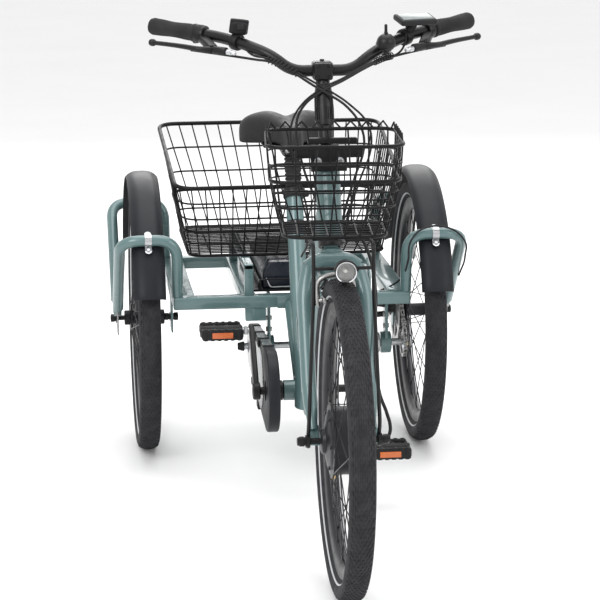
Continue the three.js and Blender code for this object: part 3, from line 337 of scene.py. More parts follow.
def surface(name, look):
    # one procedural finish: two-tone colour drift, roughness drift, fine grain
    material = bpy.data.materials.new(name)
    material.use_nodes = True
    nodes, links, shader = nodeSet(material)
    coords = nodes.new("ShaderNodeTexCoord")
    mapping = nodes.new("ShaderNodeMapping")
    mapping.inputs["Scale"].default_value = look.get("stretch", (1, 1, 1))
    links.new(coords.outputs["Object"], mapping.inputs["Vector"])

    drift = nodes.new("ShaderNodeTexNoise")
    drift.inputs["Scale"].default_value = look.get("driftScale", 14)
    drift.inputs["Detail"].default_value = 5
    drift.inputs["Roughness"].default_value = 0.6
    links.new(mapping.outputs["Vector"], drift.inputs["Vector"])
    tones = nodes.new("ShaderNodeValToRGB")
    tones.color_ramp.elements[0].position = 0.32
    tones.color_ramp.elements[1].position = 0.7
    tones.color_ramp.elements[0].color = (*look["colour"], 1)
    tones.color_ramp.elements[1].color = (*look.get("colour2", [c * 1.18 for c in look["colour"]]), 1)
    links.new(drift.outputs["Fac"], tones.inputs["Fac"])
    links.new(tones.outputs["Color"], shader.inputs["Base Color"])

    smear = nodes.new("ShaderNodeTexNoise")
    smear.inputs["Scale"].default_value = look.get("smearScale", 45)
    smear.inputs["Detail"].default_value = 6
    links.new(mapping.outputs["Vector"], smear.inputs["Vector"])
    spread = nodes.new("ShaderNodeMapRange")
    spread.inputs["From Min"].default_value = 0.3
    spread.inputs["From Max"].default_value = 0.7
    spread.inputs["To Min"].default_value = look["rough"][0]
    spread.inputs["To Max"].default_value = look["rough"][1]
    links.new(smear.outputs["Fac"], spread.inputs["Value"])
    links.new(spread.outputs["Result"], shader.inputs["Roughness"])

    kind = look.get("grain", "noise")
    if kind == "leather":
        grain = nodes.new("ShaderNodeTexVoronoi")
        grain.feature = "DISTANCE_TO_EDGE"
        height = grain.outputs["Distance"]
    else:
        grain = nodes.new("ShaderNodeTexNoise")
        grain.inputs["Detail"].default_value = 4
        height = grain.outputs["Fac"]
    grain.inputs["Scale"].default_value = look.get("grainScale", 900)
    links.new(mapping.outputs["Vector"], grain.inputs["Vector"])
    bump = nodes.new("ShaderNodeBump")
    bump.inputs["Strength"].default_value = look.get("bump", 0.15)
    bump.inputs["Distance"].default_value = look.get("bumpDepth", 0.0004)
    links.new(height, bump.inputs["Height"])
    links.new(bump.outputs["Normal"], shader.inputs["Normal"])

    shader.inputs["Metallic"].default_value = look.get("metal", 0)
    shader.inputs["Coat Weight"].default_value = look.get("coat", 0)
    shader.inputs["Coat Roughness"].default_value = look.get("coatRough", 0.06)
    shader.inputs["IOR"].default_value = look.get("ior", 1.5)
    shader.inputs["Specular IOR Level"].default_value = look.get("specular", 0.5)
    shader.inputs["Transmission Weight"].default_value = look.get("clear", 0)
    shader.inputs["Anisotropic"].default_value = look.get("brushed", 0)
    return material


looks = {
    "teal": {"colour": (0.080, 0.140, 0.142), "colour2": (0.094, 0.160, 0.162), "driftScale": 5,
             "rough": (0.26, 0.36), "grainScale": 260, "bump": 0.05, "bumpDepth": 0.0003,
             "coat": 0.55, "coatRough": 0.06, "metal": 0.1, "smearScale": 18, "specular": 0.4},
    "blackPaint": {"colour": (0.0045, 0.0045, 0.0052), "colour2": (0.008, 0.008, 0.009),
                   "rough": (0.28, 0.44),
                   "grainScale": 1400, "bump": 0.12, "bumpDepth": 0.0002, "specular": 0.28},
    "wirePaint": {"colour": (0.003, 0.003, 0.0035), "colour2": (0.006, 0.006, 0.007), "rough": (0.34, 0.5),
                  "grainScale": 1800, "bump": 0.1, "bumpDepth": 0.0002, "specular": 0.16},
    "plastic": {"colour": (0.006, 0.006, 0.007), "colour2": (0.010, 0.010, 0.011), "rough": (0.42, 0.58),
                "grainScale": 1600, "bump": 0.25, "bumpDepth": 0.0002, "specular": 0.25},
    "fender": {"colour": (0.008, 0.009, 0.0115), "colour2": (0.012, 0.013, 0.016), "rough": (0.38, 0.5),
               "grainScale": 1200, "bump": 0.12, "bumpDepth": 0.0002, "smearScale": 12, "specular": 0.2},
    "gloss": {"colour": (0.003, 0.006, 0.012), "colour2": (0.006, 0.009, 0.016), "rough": (0.24, 0.36),
              "grainScale": 1500, "bump": 0.08, "bumpDepth": 0.0002, "specular": 0.3},
    "rubber": {"colour": (0.012, 0.012, 0.013), "colour2": (0.020, 0.020, 0.021), "rough": (0.62, 0.8),
               "grainScale": 1300, "bump": 0.3, "bumpDepth": 0.0003, "specular": 0.25},
    "tyre": {"colour": (0.018, 0.018, 0.021), "colour2": (0.034, 0.034, 0.037), "rough": (0.7, 0.88),
             "grainScale": 240, "bump": 0.6, "bumpDepth": 0.0006, "driftScale": 60, "specular": 0.2},
    "rim": {"colour": (0.014, 0.014, 0.017), "colour2": (0.022, 0.022, 0.026), "rough": (0.3, 0.42),
            "metal": 0.3,
            "grainScale": 900, "bump": 0.08, "bumpDepth": 0.0002, "specular": 0.3},
    "spoke": {"colour": (0.02, 0.02, 0.022), "rough": (0.25, 0.35), "metal": 0.8},
    "steel": {"colour": (0.42, 0.43, 0.44), "colour2": (0.52, 0.53, 0.54), "rough": (0.22, 0.4), "metal": 1,
              "stretch": (1, 6, 6), "grainScale": 500, "bump": 0.12, "bumpDepth": 0.0002, "brushed": 0.3},
    "chrome": {"colour": (0.62, 0.63, 0.64), "colour2": (0.7, 0.71, 0.72), "rough": (0.05, 0.12), "metal": 1,
               "bump": 0.02},
    "zinc": {"colour": (0.28, 0.28, 0.28), "colour2": (0.4, 0.4, 0.39), "rough": (0.3, 0.5), "metal": 1,
             "grainScale": 600, "bump": 0.15, "bumpDepth": 0.0003},
    "brass": {"colour": (0.6, 0.42, 0.16), "rough": (0.22, 0.34), "metal": 1},
    "leather": {"colour": (0.007, 0.007, 0.008), "colour2": (0.012, 0.012, 0.013), "rough": (0.48, 0.64),
                "grain": "leather", "grainScale": 520, "bump": 0.35, "bumpDepth": 0.0006, "specular": 0.3},
    "reflector": {"colour": (0.42, 0.085, 0.015), "colour2": (0.56, 0.14, 0.03), "rough": (0.16, 0.26),
                  "grain": "leather", "grainScale": 420, "bump": 0.6, "bumpDepth": 0.0006, "coat": 0.3},
    "band": {"colour": (0.42, 0.43, 0.44), "colour2": (0.5, 0.51, 0.52), "rough": (0.35, 0.5),
             "grainScale": 800, "bump": 0.2},
    "screen": {"colour": (0.15, 0.17, 0.17), "colour2": (0.22, 0.24, 0.235), "rough": (0.16, 0.24),
               "specular": 0.3,
               "driftScale": 30},
    "lens": {"colour": (0.95, 0.96, 0.97), "rough": (0.02, 0.05), "clear": 1, "ior": 1.46, "bump": 0.03,
             "grainScale": 300},
    "lamp": {"colour": (0.9, 0.88, 0.82), "colour2": (0.96, 0.95, 0.9), "rough": (0.1, 0.2)},
}
finish = {name: surface(name, look) for name, look in looks.items()}
print("finishes ready")


# camera, light and floor

shot = {"place": at(-0.5763, -4.8336, 1.5471), "yaw": 5.8596, "down": 11.3044, "roll": 0.4797, "lens": 160.2}


def placeCamera():
    data = bpy.data.cameras.new("camera")
    data.lens = shot["lens"]
    data.sensor_width = 36
    data.clip_end = 60
    camera = bpy.data.objects.new("camera", data)
    bpy.context.collection.objects.link(camera)
    turn = (Matrix.Rotation(math.radians(-shot["yaw"]), 4, "Z")
            @ Matrix.Rotation(math.radians(90 - shot["down"]), 4, "X")
            @ Matrix.Rotation(math.radians(-shot["roll"]), 4, "Z"))
    camera.matrix_world = Matrix.Translation(shot["place"]) @ turn
    bpy.context.scene.camera = camera


lights = {
    "key": {"place": (-2.6, -3.6, 3.4), "size": 2.6, "power": 120},
    "fill": {"place": (3.4, -2.8, 2.6), "size": 3.0, "power": 60},
    "top": {"place": (0.2, 0.6, 4.2), "size": 3.4, "power": 90},
    "back": {"place": (0.4, 4.4, 2.8), "size": 2.8, "power": 60},
}


def placeLights():
    for name, light in lights.items():
        data = bpy.data.lights.new(name, "AREA")
        data.energy = light["power"]
        data.size = light["size"]
        lamp = bpy.data.objects.new(name, data)
        bpy.context.collection.objects.link(lamp)
        lamp.location = light["place"]
        aim = Vector((0, 0, 0.5)) - lamp.location
        lamp.rotation_euler = aim.to_track_quat("-Z", "Y").to_euler()
    world = bpy.data.worlds.new("studio")
    bpy.context.scene.world = world
    world.use_nodes = True
    backdrop = world.node_tree.nodes["Background"]
    backdrop.inputs["Color"].default_value = (1, 1, 1, 1)
    backdrop.inputs["Strength"].default_value = 1.0


def placeFloor():
    deselect()
    bpy.ops.mesh.primitive_plane_add(size=60, location=(0, 0, -0.001))
    floor = bpy.context.object
    floor.name = "floor"
    floor.data.materials.append(surface("paleFloor", {
        "colour": (0.86, 0.86, 0.86), "colour2": (0.88, 0.88, 0.88), "rough": (0.7, 0.85), "bump": 0.02,
        "driftScale": 2}))


placeCamera()
placeLights()
placeFloor()
bpy.context.scene.view_settings.view_transform = "Standard"
print("camera and light placed")


# wheels

wheel = {"outer": 0.305, "rimOuter": 0.262, "rimInner": 0.234, "rimHalf": 0.0125,
         "spokes": 36, "spokeRadius": 0.0011, "blocks": 208}


def makeTyre():
    r = wheel["outer"]
    side = [(0.2505, 0.0085), (0.2625, 0.0103), (0.268, 0.017), (0.276, 0.0225), (0.2835, 0.0247),
            (0.2905, 0.0241), (0.2955, 0.0215)]
    crown = [(r - 0.0066, 0.0180), (r - 0.0042, 0.0140), (r - 0.0026, 0.0100), (r - 0.0019, 0.0060),
             (r - 0.0016, 0.0020)]
    outside = side + crown
    inside = [(0.2535, 0.0055), (0.268, 0.012), (0.283, 0.0195), (0.294, 0.0155), (0.2995, 0.006)]
    profile = outside + [(a, -b) for a, b in reversed(outside)] + [(a, -b) for a,
                                                                   b in inside] + list(reversed(inside))
    tyre = turned(profile, (0, 0, 0), (1, 0, 0), wheel["blocks"], closed=True)

    def onTread(face):
        c = face.center
        outward = face.normal.y * c.y + face.normal.z * c.z > 0
        return outward and math.hypot(c.y, c.z) > r - 0.0102 and abs(c.x) < 0.0205

    def isBlock(face):
        c = face.center
        row = round(c.x / 0.0040)
        slot = int((math.atan2(c.z, c.y) / (2 * math.pi) + 1) * wheel["blocks"])
        return onTread(face) and (slot + row) % 2 != 0

    chooseFaces(tyre, isBlock)
    bpy.ops.mesh.inset(thickness=0.0007, use_individual=True)
    bpy.ops.mesh.extrude_region_shrink_fatten(TRANSFORM_OT_shrink_fatten={"value": 0.0015})
    bpy.ops.object.mode_set(mode="OBJECT")
    return tyre


def makeRim():
    o, i, w = wheel["rimOuter"], wheel["rimInner"], wheel["rimHalf"]
    half = [(o - 0.0118, w - 0.002), (o - 0.001, w - 0.0018), (o, w - 0.0006), (o - 0.0012, w + 0.0004),
            (o - 0.007, w), (o - 0.016, w - 0.0004), (o - 0.0225, w - 0.0035), (i + 0.002, 0.006), (i, 0.003)]
    return turned(half + [(a, -b) for a, b in reversed(half)], (0, 0, 0), (1, 0, 0), 96, closed=True)


def spokeSet(flangeRadius, flangeX):
    parts = []
    count = wheel["spokes"]
    for k in range(count):
        side = 1 if k % 2 == 0 else -1
        lead = 1 if k % 4 < 2 else -1
        rimAngle = 2 * math.pi * k / count
        hubAngle = rimAngle + lead * 1.12
        hubX = side * (flangeX + lead * 0.0017)
        start = Vector((hubX, flangeRadius * math.cos(hubAngle), flangeRadius * math.sin(hubAngle)))
        out = wheel["rimInner"] + 0.003
        end = Vector((side * 0.0022, out * math.cos(rimAngle), out * math.sin(rimAngle)))
        parts.append(tube([start, end], wheel["spokeRadius"], 0, 2))
        nipple = end + (start - end).normalized() * 0.013
        parts.append(tube([end, nipple], 0.0021, 0, 2, taper=(1, 0.8)))
    return parts


def motorHubParts():
    shell = turned([(0.0065, -0.0440), (0.020, -0.0440), (0.024, -0.0415), (0.026, -0.036), (0.050, -0.0312),
                    (0.056, -0.0290), (0.0585, -0.0262), (0.066, -0.0258), (0.0712, -0.0255),
                    (0.0715, -0.0222),
                    (0.0655, -0.0215), (0.0645, 0.0), (0.0655, 0.0215), (0.0715, 0.0222), (0.0712, 0.0255),
                    (0.066, 0.0258), (0.0585, 0.0262), (0.056, 0.0290), (0.050, 0.0312), (0.026, 0.036),
                    (0.024, 0.0415), (0.020, 0.0440), (0.0065, 0.0440)], (0, 0, 0), (1, 0, 0), 72,
                   closed=True)
    parts = [shell]
    for k in range(6):
        a = 2 * math.pi * k / 6
        for side in (-1, 1):
            parts.append(bolt((side * 0.0290, 0.0535 * math.cos(a), 0.0535 * math.sin(a)), (side, 0, 0),
                              0.0035))
    return parts


def plainHubParts():
    half = [(0.0065, 0.0460), (0.0155, 0.0460), (0.017, 0.0445), (0.017, 0.0340), (0.0295, 0.0322),
            (0.0305, 0.0310),
            (0.0305, 0.0282), (0.0290, 0.0270), (0.0170, 0.0252), (0.0145, 0.018)]
    return [turned([(a, -b) for a, b in half] + list(reversed(half)), (0, 0, 0), (1, 0, 0), 48, closed=True)]


def sprocket(radius, teeth, thickness, place, inner):
    # toothed wheel: a disc whose rim faces are pulled out in turn
    disc = turned([(inner, -thickness / 2), (radius - 0.004, -thickness / 2), (radius - 0.004, thickness / 2),
                   (inner, thickness / 2)], (0, 0, 0), (1, 0, 0), teeth * 4, closed=True)

    def isTooth(face):
        c = face.center
        around = math.atan2(c.z, c.y) / (2 * math.pi) * teeth
        return math.hypot(c.y, c.z) > radius - 0.0052 and abs(face.normal.x) < 0.3 and (around % 1) < 0.5

    chooseFaces(disc, isTooth)
    bpy.ops.mesh.extrude_region_shrink_fatten(TRANSFORM_OT_shrink_fatten={"value": 0.0036})
    bpy.ops.object.mode_set(mode="OBJECT")
    return moved(disc, Matrix.Translation(place))


def valve(angle):
    r = wheel["rimInner"]
    d = Vector((0, math.cos(angle), math.sin(angle)))
    profile = [(0, 0), (0.0028, 0), (0.0028, 0.022), (0.0038, 0.0225), (0.0038, 0.031), (0.0022, 0.033),
               (0, 0.033)]
    return turned(profile, d * (r + 0.002), -d, 12)


def buildWheels():
    tyre = makeTyre()
    rim = makeRim()
    band = turned([(0.2690, 0.0178), (0.2695, 0.0188), (0.2712, 0.0201), (0.2720, 0.0201), (0.2715, 0.0180)],
                  (0, 0, 0), (1, 0, 0), 120, closed=True)
    stock = {"front": (motorHubParts(), 0.0685, 0.0240), "rear": (plainHubParts(), 0.0285, 0.0297)}
    places = {"front": ("front_wheel", frontAxle, "front_tyre"),
              "rear_left": ("rear_wheel_left", rearAxle["left"], "rear_tyre_left"),
              "rear_right": ("rear_wheel_right", rearAxle["right"], "rear_tyre_right")}
    for kind, (parts, flange, flangeX) in stock.items():
        hub = glue(parts)
        spokes = glue(spokeSet(flange, flangeX))
        for name, (body, centre, tyreNode) in places.items():
            if not name.startswith(kind):
                continue
            move = Matrix.Translation(centre)
            finishPiece(moved(duplicate(tyre), move), name + "_tyre_tread", body, finish["tyre"],
                        [tyreNode], 30)
            finishPiece(moved(duplicate(rim), move), name + "_rim", body, finish["rim"], [body])
            finishPiece(moved(duplicate(spokes), move), name + "_spokes", body, finish["spoke"])
            hubCopy = moved(duplicate(hub), move)
            if name == "rear_left":
                gear = sprocket(0.036, 16, 0.004, centre + Vector((-0.043, 0, 0)), 0.016)
                hubCopy = glue([hubCopy, gear])
            finishPiece(hubCopy, name + "_hub", body, finish["rim"])
            both = [duplicate(band)]
            both.append(moved(duplicate(band), Matrix.Rotation(math.pi, 4, "Z")))
            finishPiece(moved(glue(both), move), name + "_reflective_band", body, finish["band"])
            finishPiece(moved(valve(-0.6), move), name + "_valve", body, finish["brass"])
        discard(hub, spokes)
    discard(tyre, rim, band)
    print("wheels built")


buildWheels()


# frame

steer = {"offset": 0.054, "angle": math.radians(68)}
seatLine = {"foot": (0.720, 0.235), "top": (0.892, 0.642)}


def onSteer(z):
    return at(0, steer["offset"] + (z - axleHeight) / math.tan(steer["angle"]), z)


def onSeat(z):
    (y0, z0), (y1, z1) = seatLine["foot"], seatLine["top"]
    return at(0, y0 + (z - z0) * (y1 - y0) / (z1 - z0), z)


steerUp = (onSteer(1) - onSteer(0)).normalized()
seatUp = (onSeat(1) - onSeat(0)).normalized()


def buildMainFrame():
    head = turned([(0.0175, 0.0), (0.0250, 0.0), (0.0256, 0.002), (0.0256, 0.012), (0.0242, 0.018),
                   (0.0242, 0.138),
                   (0.0256, 0.144), (0.0256, 0.1555), (0.0250, 0.1575), (0.0175, 0.1575)],
                  onSteer(0.650), steerUp, 48, closed=True)
    mainPath = [onSteer(0.716) + Vector((0, 0.014, -0.015)), at(0, 0.330, 0.618), at(0, 0.450, 0.548),
                at(0, 0.560, 0.494), at(0, 0.632, 0.420),
                at(0, 0.662, 0.330), at(0, 0.694, 0.206)]
    mainTube = cord(mainPath, 0.0228, 8, 10)
    gusset = tube([onSteer(0.690) + Vector((0, 0.016, -0.014)), at(0, 0.372, 0.580)], 0.0148, 0, 6)
    seatTube = tube([onSeat(0.222), onSeat(0.642)], 0.0188, 0, 8)
    shell = ring(0.0172, 0.0220, 0.044, at(0, 0.720, 0.235), (1, 0, 0), 48, (0.0008, 0.0008))
    crossY = at(0, 0.955 - 0.016, 0).y
    beam = tube([at(0, 0.728, 0.243), Vector((0, crossY - 0.012, 0.378))], 0.0198, 0, 8)
    flange = box((0.070, 0.008, 0.028), (0, crossY - 0.0043, 0.385), 0.0015, 2)
    brace = tube([onSeat(0.470), Vector((0, crossY - 0.012, 0.389))], 0.0108, 0, 6)
    plate = box((0.004, 0.030, 0.05), at(0, 0.700, 0.212), 0.001, 2)
    boss = [turned([(0, 0.003), (0.004, 0.003), (0.005, 0.0015), (0.005, 0), (0, 0)],
                   onSeat(z) + Vector((0, -0.0195, 0)),
                   (0, -1, 0.4), 16) for z in (0.36, 0.42)]
    finishPiece(glue([head, mainTube, gusset, seatTube, shell, beam, flange, brace, plate] + boss),
                "frame_tubes", "frame",
                finish["teal"], ["main_frame"])
    weld = turned([(0.0186, -0.002), (0.0212, -0.001), (0.0212, 0.001), (0.0186, 0.002)], onSeat(0.262),
                  seatUp, 40, closed=True)
    finishPiece(weld, "seat_tube_weld", "frame", finish["teal"])


def squareTube(a, b, width, height, up=Vector((0, 0, 1)), bevel=0.004):
    centre = (a + b) / 2
    length = (b - a).length
    along = (b - a).normalized()
    side = up.cross(along).normalized()
    obj = box((length, width, height), (0, 0, 0), bevel, 3)
    turn = Matrix((along, side, along.cross(side))).transposed().to_4x4()
    return moved(obj, Matrix.Translation(centre) @ turn)


deck = {"z": 0.385, "front": 0.955, "rear": 1.450, "half": 0.248, "wide": 0.032, "tall": 0.028, "mid": 0.096,
        "side": 0.049, "post": 0.020, "shaftY": 1.128, "shaftZ": 0.245, "hangers": (-0.038, 0.232),
        "basketUnder": 0.4686, "dropout": 0.256}


def buildCargoFrame():
    d = deck
    parts = []
    reach = d["half"] + d["wide"] / 2
    for y in (d["front"], d["rear"]):
        parts.append(squareTube(at(-reach, y, d["z"]), at(reach, y, d["z"]), d["wide"], d["tall"]))
    sideX = reach - d["side"] / 2
    for x, wide in ((-sideX, d["side"]), (-d["mid"], d["wide"]), (d["mid"], d["wide"]), (sideX, d["side"])):
        parts.append(squareTube(at(x, d["front"] + 0.0155, d["z"]), at(x, d["rear"] - 0.0155, d["z"]),
                                wide, d["tall"]))
    top = d["basketUnder"]
    for x in (-d["mid"], d["mid"]):
        for y in (d["front"], d["rear"] - 0.06):
            parts.append(squareTube(at(x, y, d["z"] + 0.013), at(x, y, top - 0.0005), d["post"], d["post"],
                                    Vector((0, 1, 0)), 0.002))
        parts.append(squareTube(at(x, d["front"] - 0.01, top - 0.006), at(x, d["rear"] - 0.05, top - 0.006),
                                d["post"], 0.012, bevel=0.002))
    parts.append(box((0.046, 0.024, 0.038), at(-d["mid"] + 0.014, d["front"], d["z"] - 0.0245), 0.002))
    for x in d["hangers"]:
        parts.append(box((0.007, 0.050, 0.116), at(x, d["shaftY"], d["z"] - 0.0700), 0.0015))
        parts.append(ring(0.0095, 0.025, 0.012, at(x, d["shaftY"], d["shaftZ"]), (1, 0, 0), 40,
                          (0.0015, 0.0015)))
    parts.append(box((2 * d["mid"], 0.024, 0.020), at(0, d["shaftY"], d["z"]), 0.002))
    for side in (-1, 1):
        x = side * d["dropout"]
        plate = box((0.004, 0.084, 0.099), at(x, wheelbase, 0.3245), 0.0012)
        parts.append(cutWith(plate, across(x - 0.02, x + 0.02, wheelbase, axleHeight, axleHole, 6)))
    finishPiece(glue(parts), "cargo_frame_tubes", "frame", finish["teal"], ["cargo_frame"])
    heads = []
    for x in d["hangers"]:
        for dz in (0.042, 0.068):
            for way in (1, -1):
                place = at(x + way * 0.0035, d["shaftY"] - 0.014, d["shaftZ"] + dz)
                heads.append(bolt(place, (way, 0, 0), 0.0055))
    finishPiece(glue(heads), "hanger_bolts", "frame", finish["zinc"])


hoop = {"distance": 0.351, "angle": math.radians(40), "radius": 0.0125, "outer": 0.380, "inner": 0.2545}


def buildWheelGuards():
    reach = hoop["distance"] * math.cos(hoop["angle"])
    rise = axleHeight + hoop["distance"] * math.sin(hoop["angle"])
    for name, side in sides.items():
        parts = []
        for end, railY in ((-1, deck["front"]), (1, deck["rear"])):
            topY = wheelbase + end * reach
            foot = at(side * hoop["outer"], wheelbase + end * 0.030, 0.325)
            shoulder = at(side * hoop["outer"], topY, rise)
            lead = (shoulder - foot).normalized()
            parts.append(tube([foot + lead * 0.02, shoulder, at(side * hoop["inner"], topY, rise),
                               at(side * hoop["inner"], railY, 0.3996)], hoop["radius"], 0.048, 7, 10))
            parts.append(tube([foot - lead * 0.004, foot + lead * 0.022], hoop["radius"] * 0.99, 0, 7,
                              taper=(0.45, 1.0)))
            parts.append(squareTube(foot - lead * 0.018, foot + lead * 0.016, 0.003, 0.018,
                                    Vector((1, 0, 0)), 0.0012))
        finishPiece(glue(parts), "wheel_guard_tubes_" + name, "frame", finish["teal"],
                    ["wheel_guard_" + name])
        plate = box((0.0032, 0.084, 0.066), at(side * hoop["outer"], wheelbase, axleHeight), 0.0013)
        heads = [cutWith(plate, across(side * 0.37, side * 0.39, wheelbase, axleHeight, axleHole, 6))]
        for end in (-1, 1):
            place = at(side * (hoop["outer"] + 0.0016), wheelbase + end * 0.033, 0.322)
            heads.append(bolt(place, (side, 0, 0), 0.0055))
        finishPiece(glue(heads), "outer_dropout_" + name, "frame", finish["zinc"])


buildMainFrame()
buildCargoFrame()
buildWheelGuards()
print("frame built")


# fork and front end

def buildFork():
    parts = []
    for side in (-1, 1):
        parts.append(tube([at(side * 0.045, 0.160, 0.606), at(side * 0.058, 0.135, 0.560),
                           at(side * 0.0575, 0.066, 0.385)],
                          0.0165, 0.045, 8, 8, taper=(1.0, 0.88)))
        parts.append(tube([at(side * 0.0575, 0.071, 0.397), at(side * 0.0565, 0.035, 0.350),
                           at(side * 0.0555, 0.014, 0.322)],
                          0.0145, 0.03, 8, 8, taper=(1.0, 0.62)))
        tip = squareTube(at(side * 0.0555, 0.022, 0.330), at(side * 0.0555, -0.004, 0.298), 0.005, 0.021,
                         Vector((1, 0, 0)), 0.0015)
        parts.append(cutWith(tip, across(side * 0.03, side * 0.08, 0, axleHeight, axleHole, 6)))
    crown = turned([(0, -0.022), (0.024, -0.022), (0.0275, -0.016), (0.028, 0.012), (0.0235, 0.028),
                    (0.0145, 0.034),
                    (0.0143, 0.20), (0, 0.20)], onSteer(0.606), steerUp, 40)
    parts.append(crown)
    bridge = tube([at(-0.048, 0.158, 0.604), at(-0.026, 0.163, 0.618), at(0.026, 0.163, 0.618),
                   at(0.048, 0.158, 0.604)],
                  0.0175, 0.03, 8, 6)
    parts.append(bridge)
    finishPiece(glue(parts), "fork_legs", "steering", finish["teal"], ["fork"])
    boss = [bolt(at(side * 0.060, 0.092, 0.462), (side, 0, 0), 0.0045) for side in (-1, 1)]
    finishPiece(glue(boss), "fork_bosses", "steering", finish["steel"])


def between(a, b, u):
    return a * (1 - u) + b * u


bar = {"radius": 0.0115, "clampBore": 0.0118, "path": [(0, 0.321, 0.966), (0.060, 0.321, 0.966),
                                                       (0.100, 0.332, 0.997),
                                  (0.150, 0.372, 1.016), (0.196, 0.420, 1.026), (0.316, 0.505, 1.040)]}


def barPoint(side, index):
    x, y, z = bar["path"][index]
    return at(side * x, y, z)


def buildBar():
    right = [barPoint(-1, i) for i in range(5, 0, -1)]
    left = [barPoint(1, i) for i in range(1, 6)]
    finishPiece(tube(right + [barPoint(1, 0)] + left, bar["radius"], 0.024, 7, 8), "handlebar_tube",
                "steering",
                finish["blackPaint"], ["handlebar"])
    clampCentre = at(0, 0.321, 0.966)
    body = box((0.040, 0.040, 0.037), clampCentre, 0.007, 3)
    cap = box((0.036, 0.010, 0.033), clampCentre + Vector((0, -0.0205, 0)), 0.003, 3)
    slit = box((0.06, 0.0016, 0.05), clampCentre + Vector((0, -0.0135, 0)), 0.0003, 1)
    head = glue([cutWith(body, slit), cap])
    quill = tube([onSteer(0.803), onSteer(0.958)], 0.0138, 0, 8)
    fluted = turned([(0.0135, -0.002), (0.0168, 0.0), (0.0186, 0.010), (0.0190, 0.035), (0.0182, 0.060),
                     (0.0160, 0.076),
                     (0.0135, 0.082)], onSteer(0.862), steerUp, 72)

    def inFlute(face):
        c = face.center - onSteer(0.862)
        around = math.atan2(c.y, c.x) / (2 * math.pi) * 18
        return (around % 1) < 0.5 and 0.008 < c.dot(steerUp) < 0.066

    chooseFaces(fluted, inFlute)
    bpy.ops.mesh.extrude_region_shrink_fatten(TRANSFORM_OT_shrink_fatten={"value": -0.0013})
    bpy.ops.object.mode_set(mode="OBJECT")
    collar = turned([(0.0143, 0), (0.021, 0), (0.0215, 0.003), (0.0215, 0.017), (0.019, 0.020),
                     (0.0143, 0.020)],
                    onSteer(0.808), steerUp, 40, closed=True)
    finishPiece(glue([head, quill, fluted, collar]), "stem_body", "steering", finish["blackPaint"],
                ["stem"])
    heads = [bolt(clampCentre + Vector((dx, -0.0256, dz)), (0, -1, 0), 0.0034)
             for dx in (-0.012, 0.012) for dz in (-0.011, 0.011)]
    heads.append(bolt(clampCentre + Vector((0, 0.004, 0.0185)), (0, 0, 1), 0.0045))
    finishPiece(glue(heads), "stem_bolts", "steering", finish["blackPaint"])


def buildGrips():
    for name, side in sides.items():
        end = barPoint(side, 5)
        inward = (barPoint(side, 4) - end).normalized()
        profile = [(0, -0.0085), (0.010, -0.0085), (0.0150, -0.0065), (0.0170, -0.0015), (0.0172, 0.004)]
        ribs = 26
        for k in range(ribs):
            u = k / ribs
            swell = 0.0152 + 0.0017 * math.cos(u * math.pi) ** 2
            along = 0.006 + u * 0.080
            profile += [(swell, along), (swell, along + 0.0022), (swell - 0.00025, along + 0.0026)]
        profile += [(0.0170, 0.0905), (0.0182, 0.0935), (0.0182, 0.0985), (0.0165, 0.1005), (0.0120, 0.1005)]
        grip = turned(profile, end, inward, 40)
        finishPiece(grip, "grip_rubber_" + name, "steering", finish["rubber"],
                    ["grip_" + name])


def buildLevers():
    pivot = {"x": 0.212, "y": 0.375, "z": 1.005}
    for name, side in sides.items():
        end = barPoint(side, 5)
        inward = (barPoint(side, 4) - end).normalized()
        mount = end + inward * 0.111
        clamp = ring(bar["clampBore"], 0.0175, 0.009, mount, inward, 36, (0.001, 0.0015))
        hinge = at(side * pivot["x"], pivot["y"], pivot["z"])
        neck = squareTube(mount + Vector((0, -0.010, -0.006)), hinge + Vector((-side * 0.004, 0.006, 0)),
                          0.020, 0.015,
                          bevel=0.004)
        housing = squareTube(hinge + inward * 0.004, hinge + inward * 0.036 + Vector((0, 0, 0.001)), 0.016,
                             0.015,
                             bevel=0.0045)
        finishPiece(glue([clamp, neck, housing]), "lever_mount_" + name, "steering", finish["blackPaint"],
                    ["brake_mount_" + name])
        barrel = turned([(0, 0), (0.0052, 0), (0.0052, 0.010), (0.0042, 0.011), (0.0042, 0.018),
                         (0.0028, 0.020),
                         (0, 0.020)], hinge + inward * 0.036, inward, 20)
        finishPiece(barrel, "barrel_adjuster_" + name, "steering", finish["steel"])
        low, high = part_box("brake_lever_" + name)
        tip = Vector((low[0] if side < 0 else high[0], low[1] + 0.066, high[2] - 0.006))
        blade = tube([hinge + Vector((-side * 0.004, 0, 0)), hinge + Vector((side * 0.022, -0.004, 0.001)),
                      hinge + Vector((side * 0.060, 0.024, 0.006)), tip], 0.0056, 0.03, 6, 8,
                     taper=(1.1, 0.8))
        knob = turned([(0, -0.0075), (0.0045, -0.0070), (0.0068, -0.004), (0.0074, 0), (0.0068, 0.004),
                       (0.0045, 0.0068),
                       (0, 0.0072)], tip, (side, 0.4, 0.1), 20)
        pin = turned([(0, -0.0085), (0.0035, -0.0085), (0.0035, 0.0085), (0, 0.0085)], hinge, (0, 0, 1), 16)
        finishPiece(glue([blade, knob, pin]), "lever_blade_" + name, "brake_lever_" + name,
                    finish["blackPaint"],
                    ["brake_lever_" + name])


buildFork()
buildBar()
buildGrips()
buildLevers()
print("fork and bar built")


# baskets

def wire(points, radius, bend=0.0, sides=2, closed=False):
    return tube(points, radius, bend, sides, 4, closed=closed)


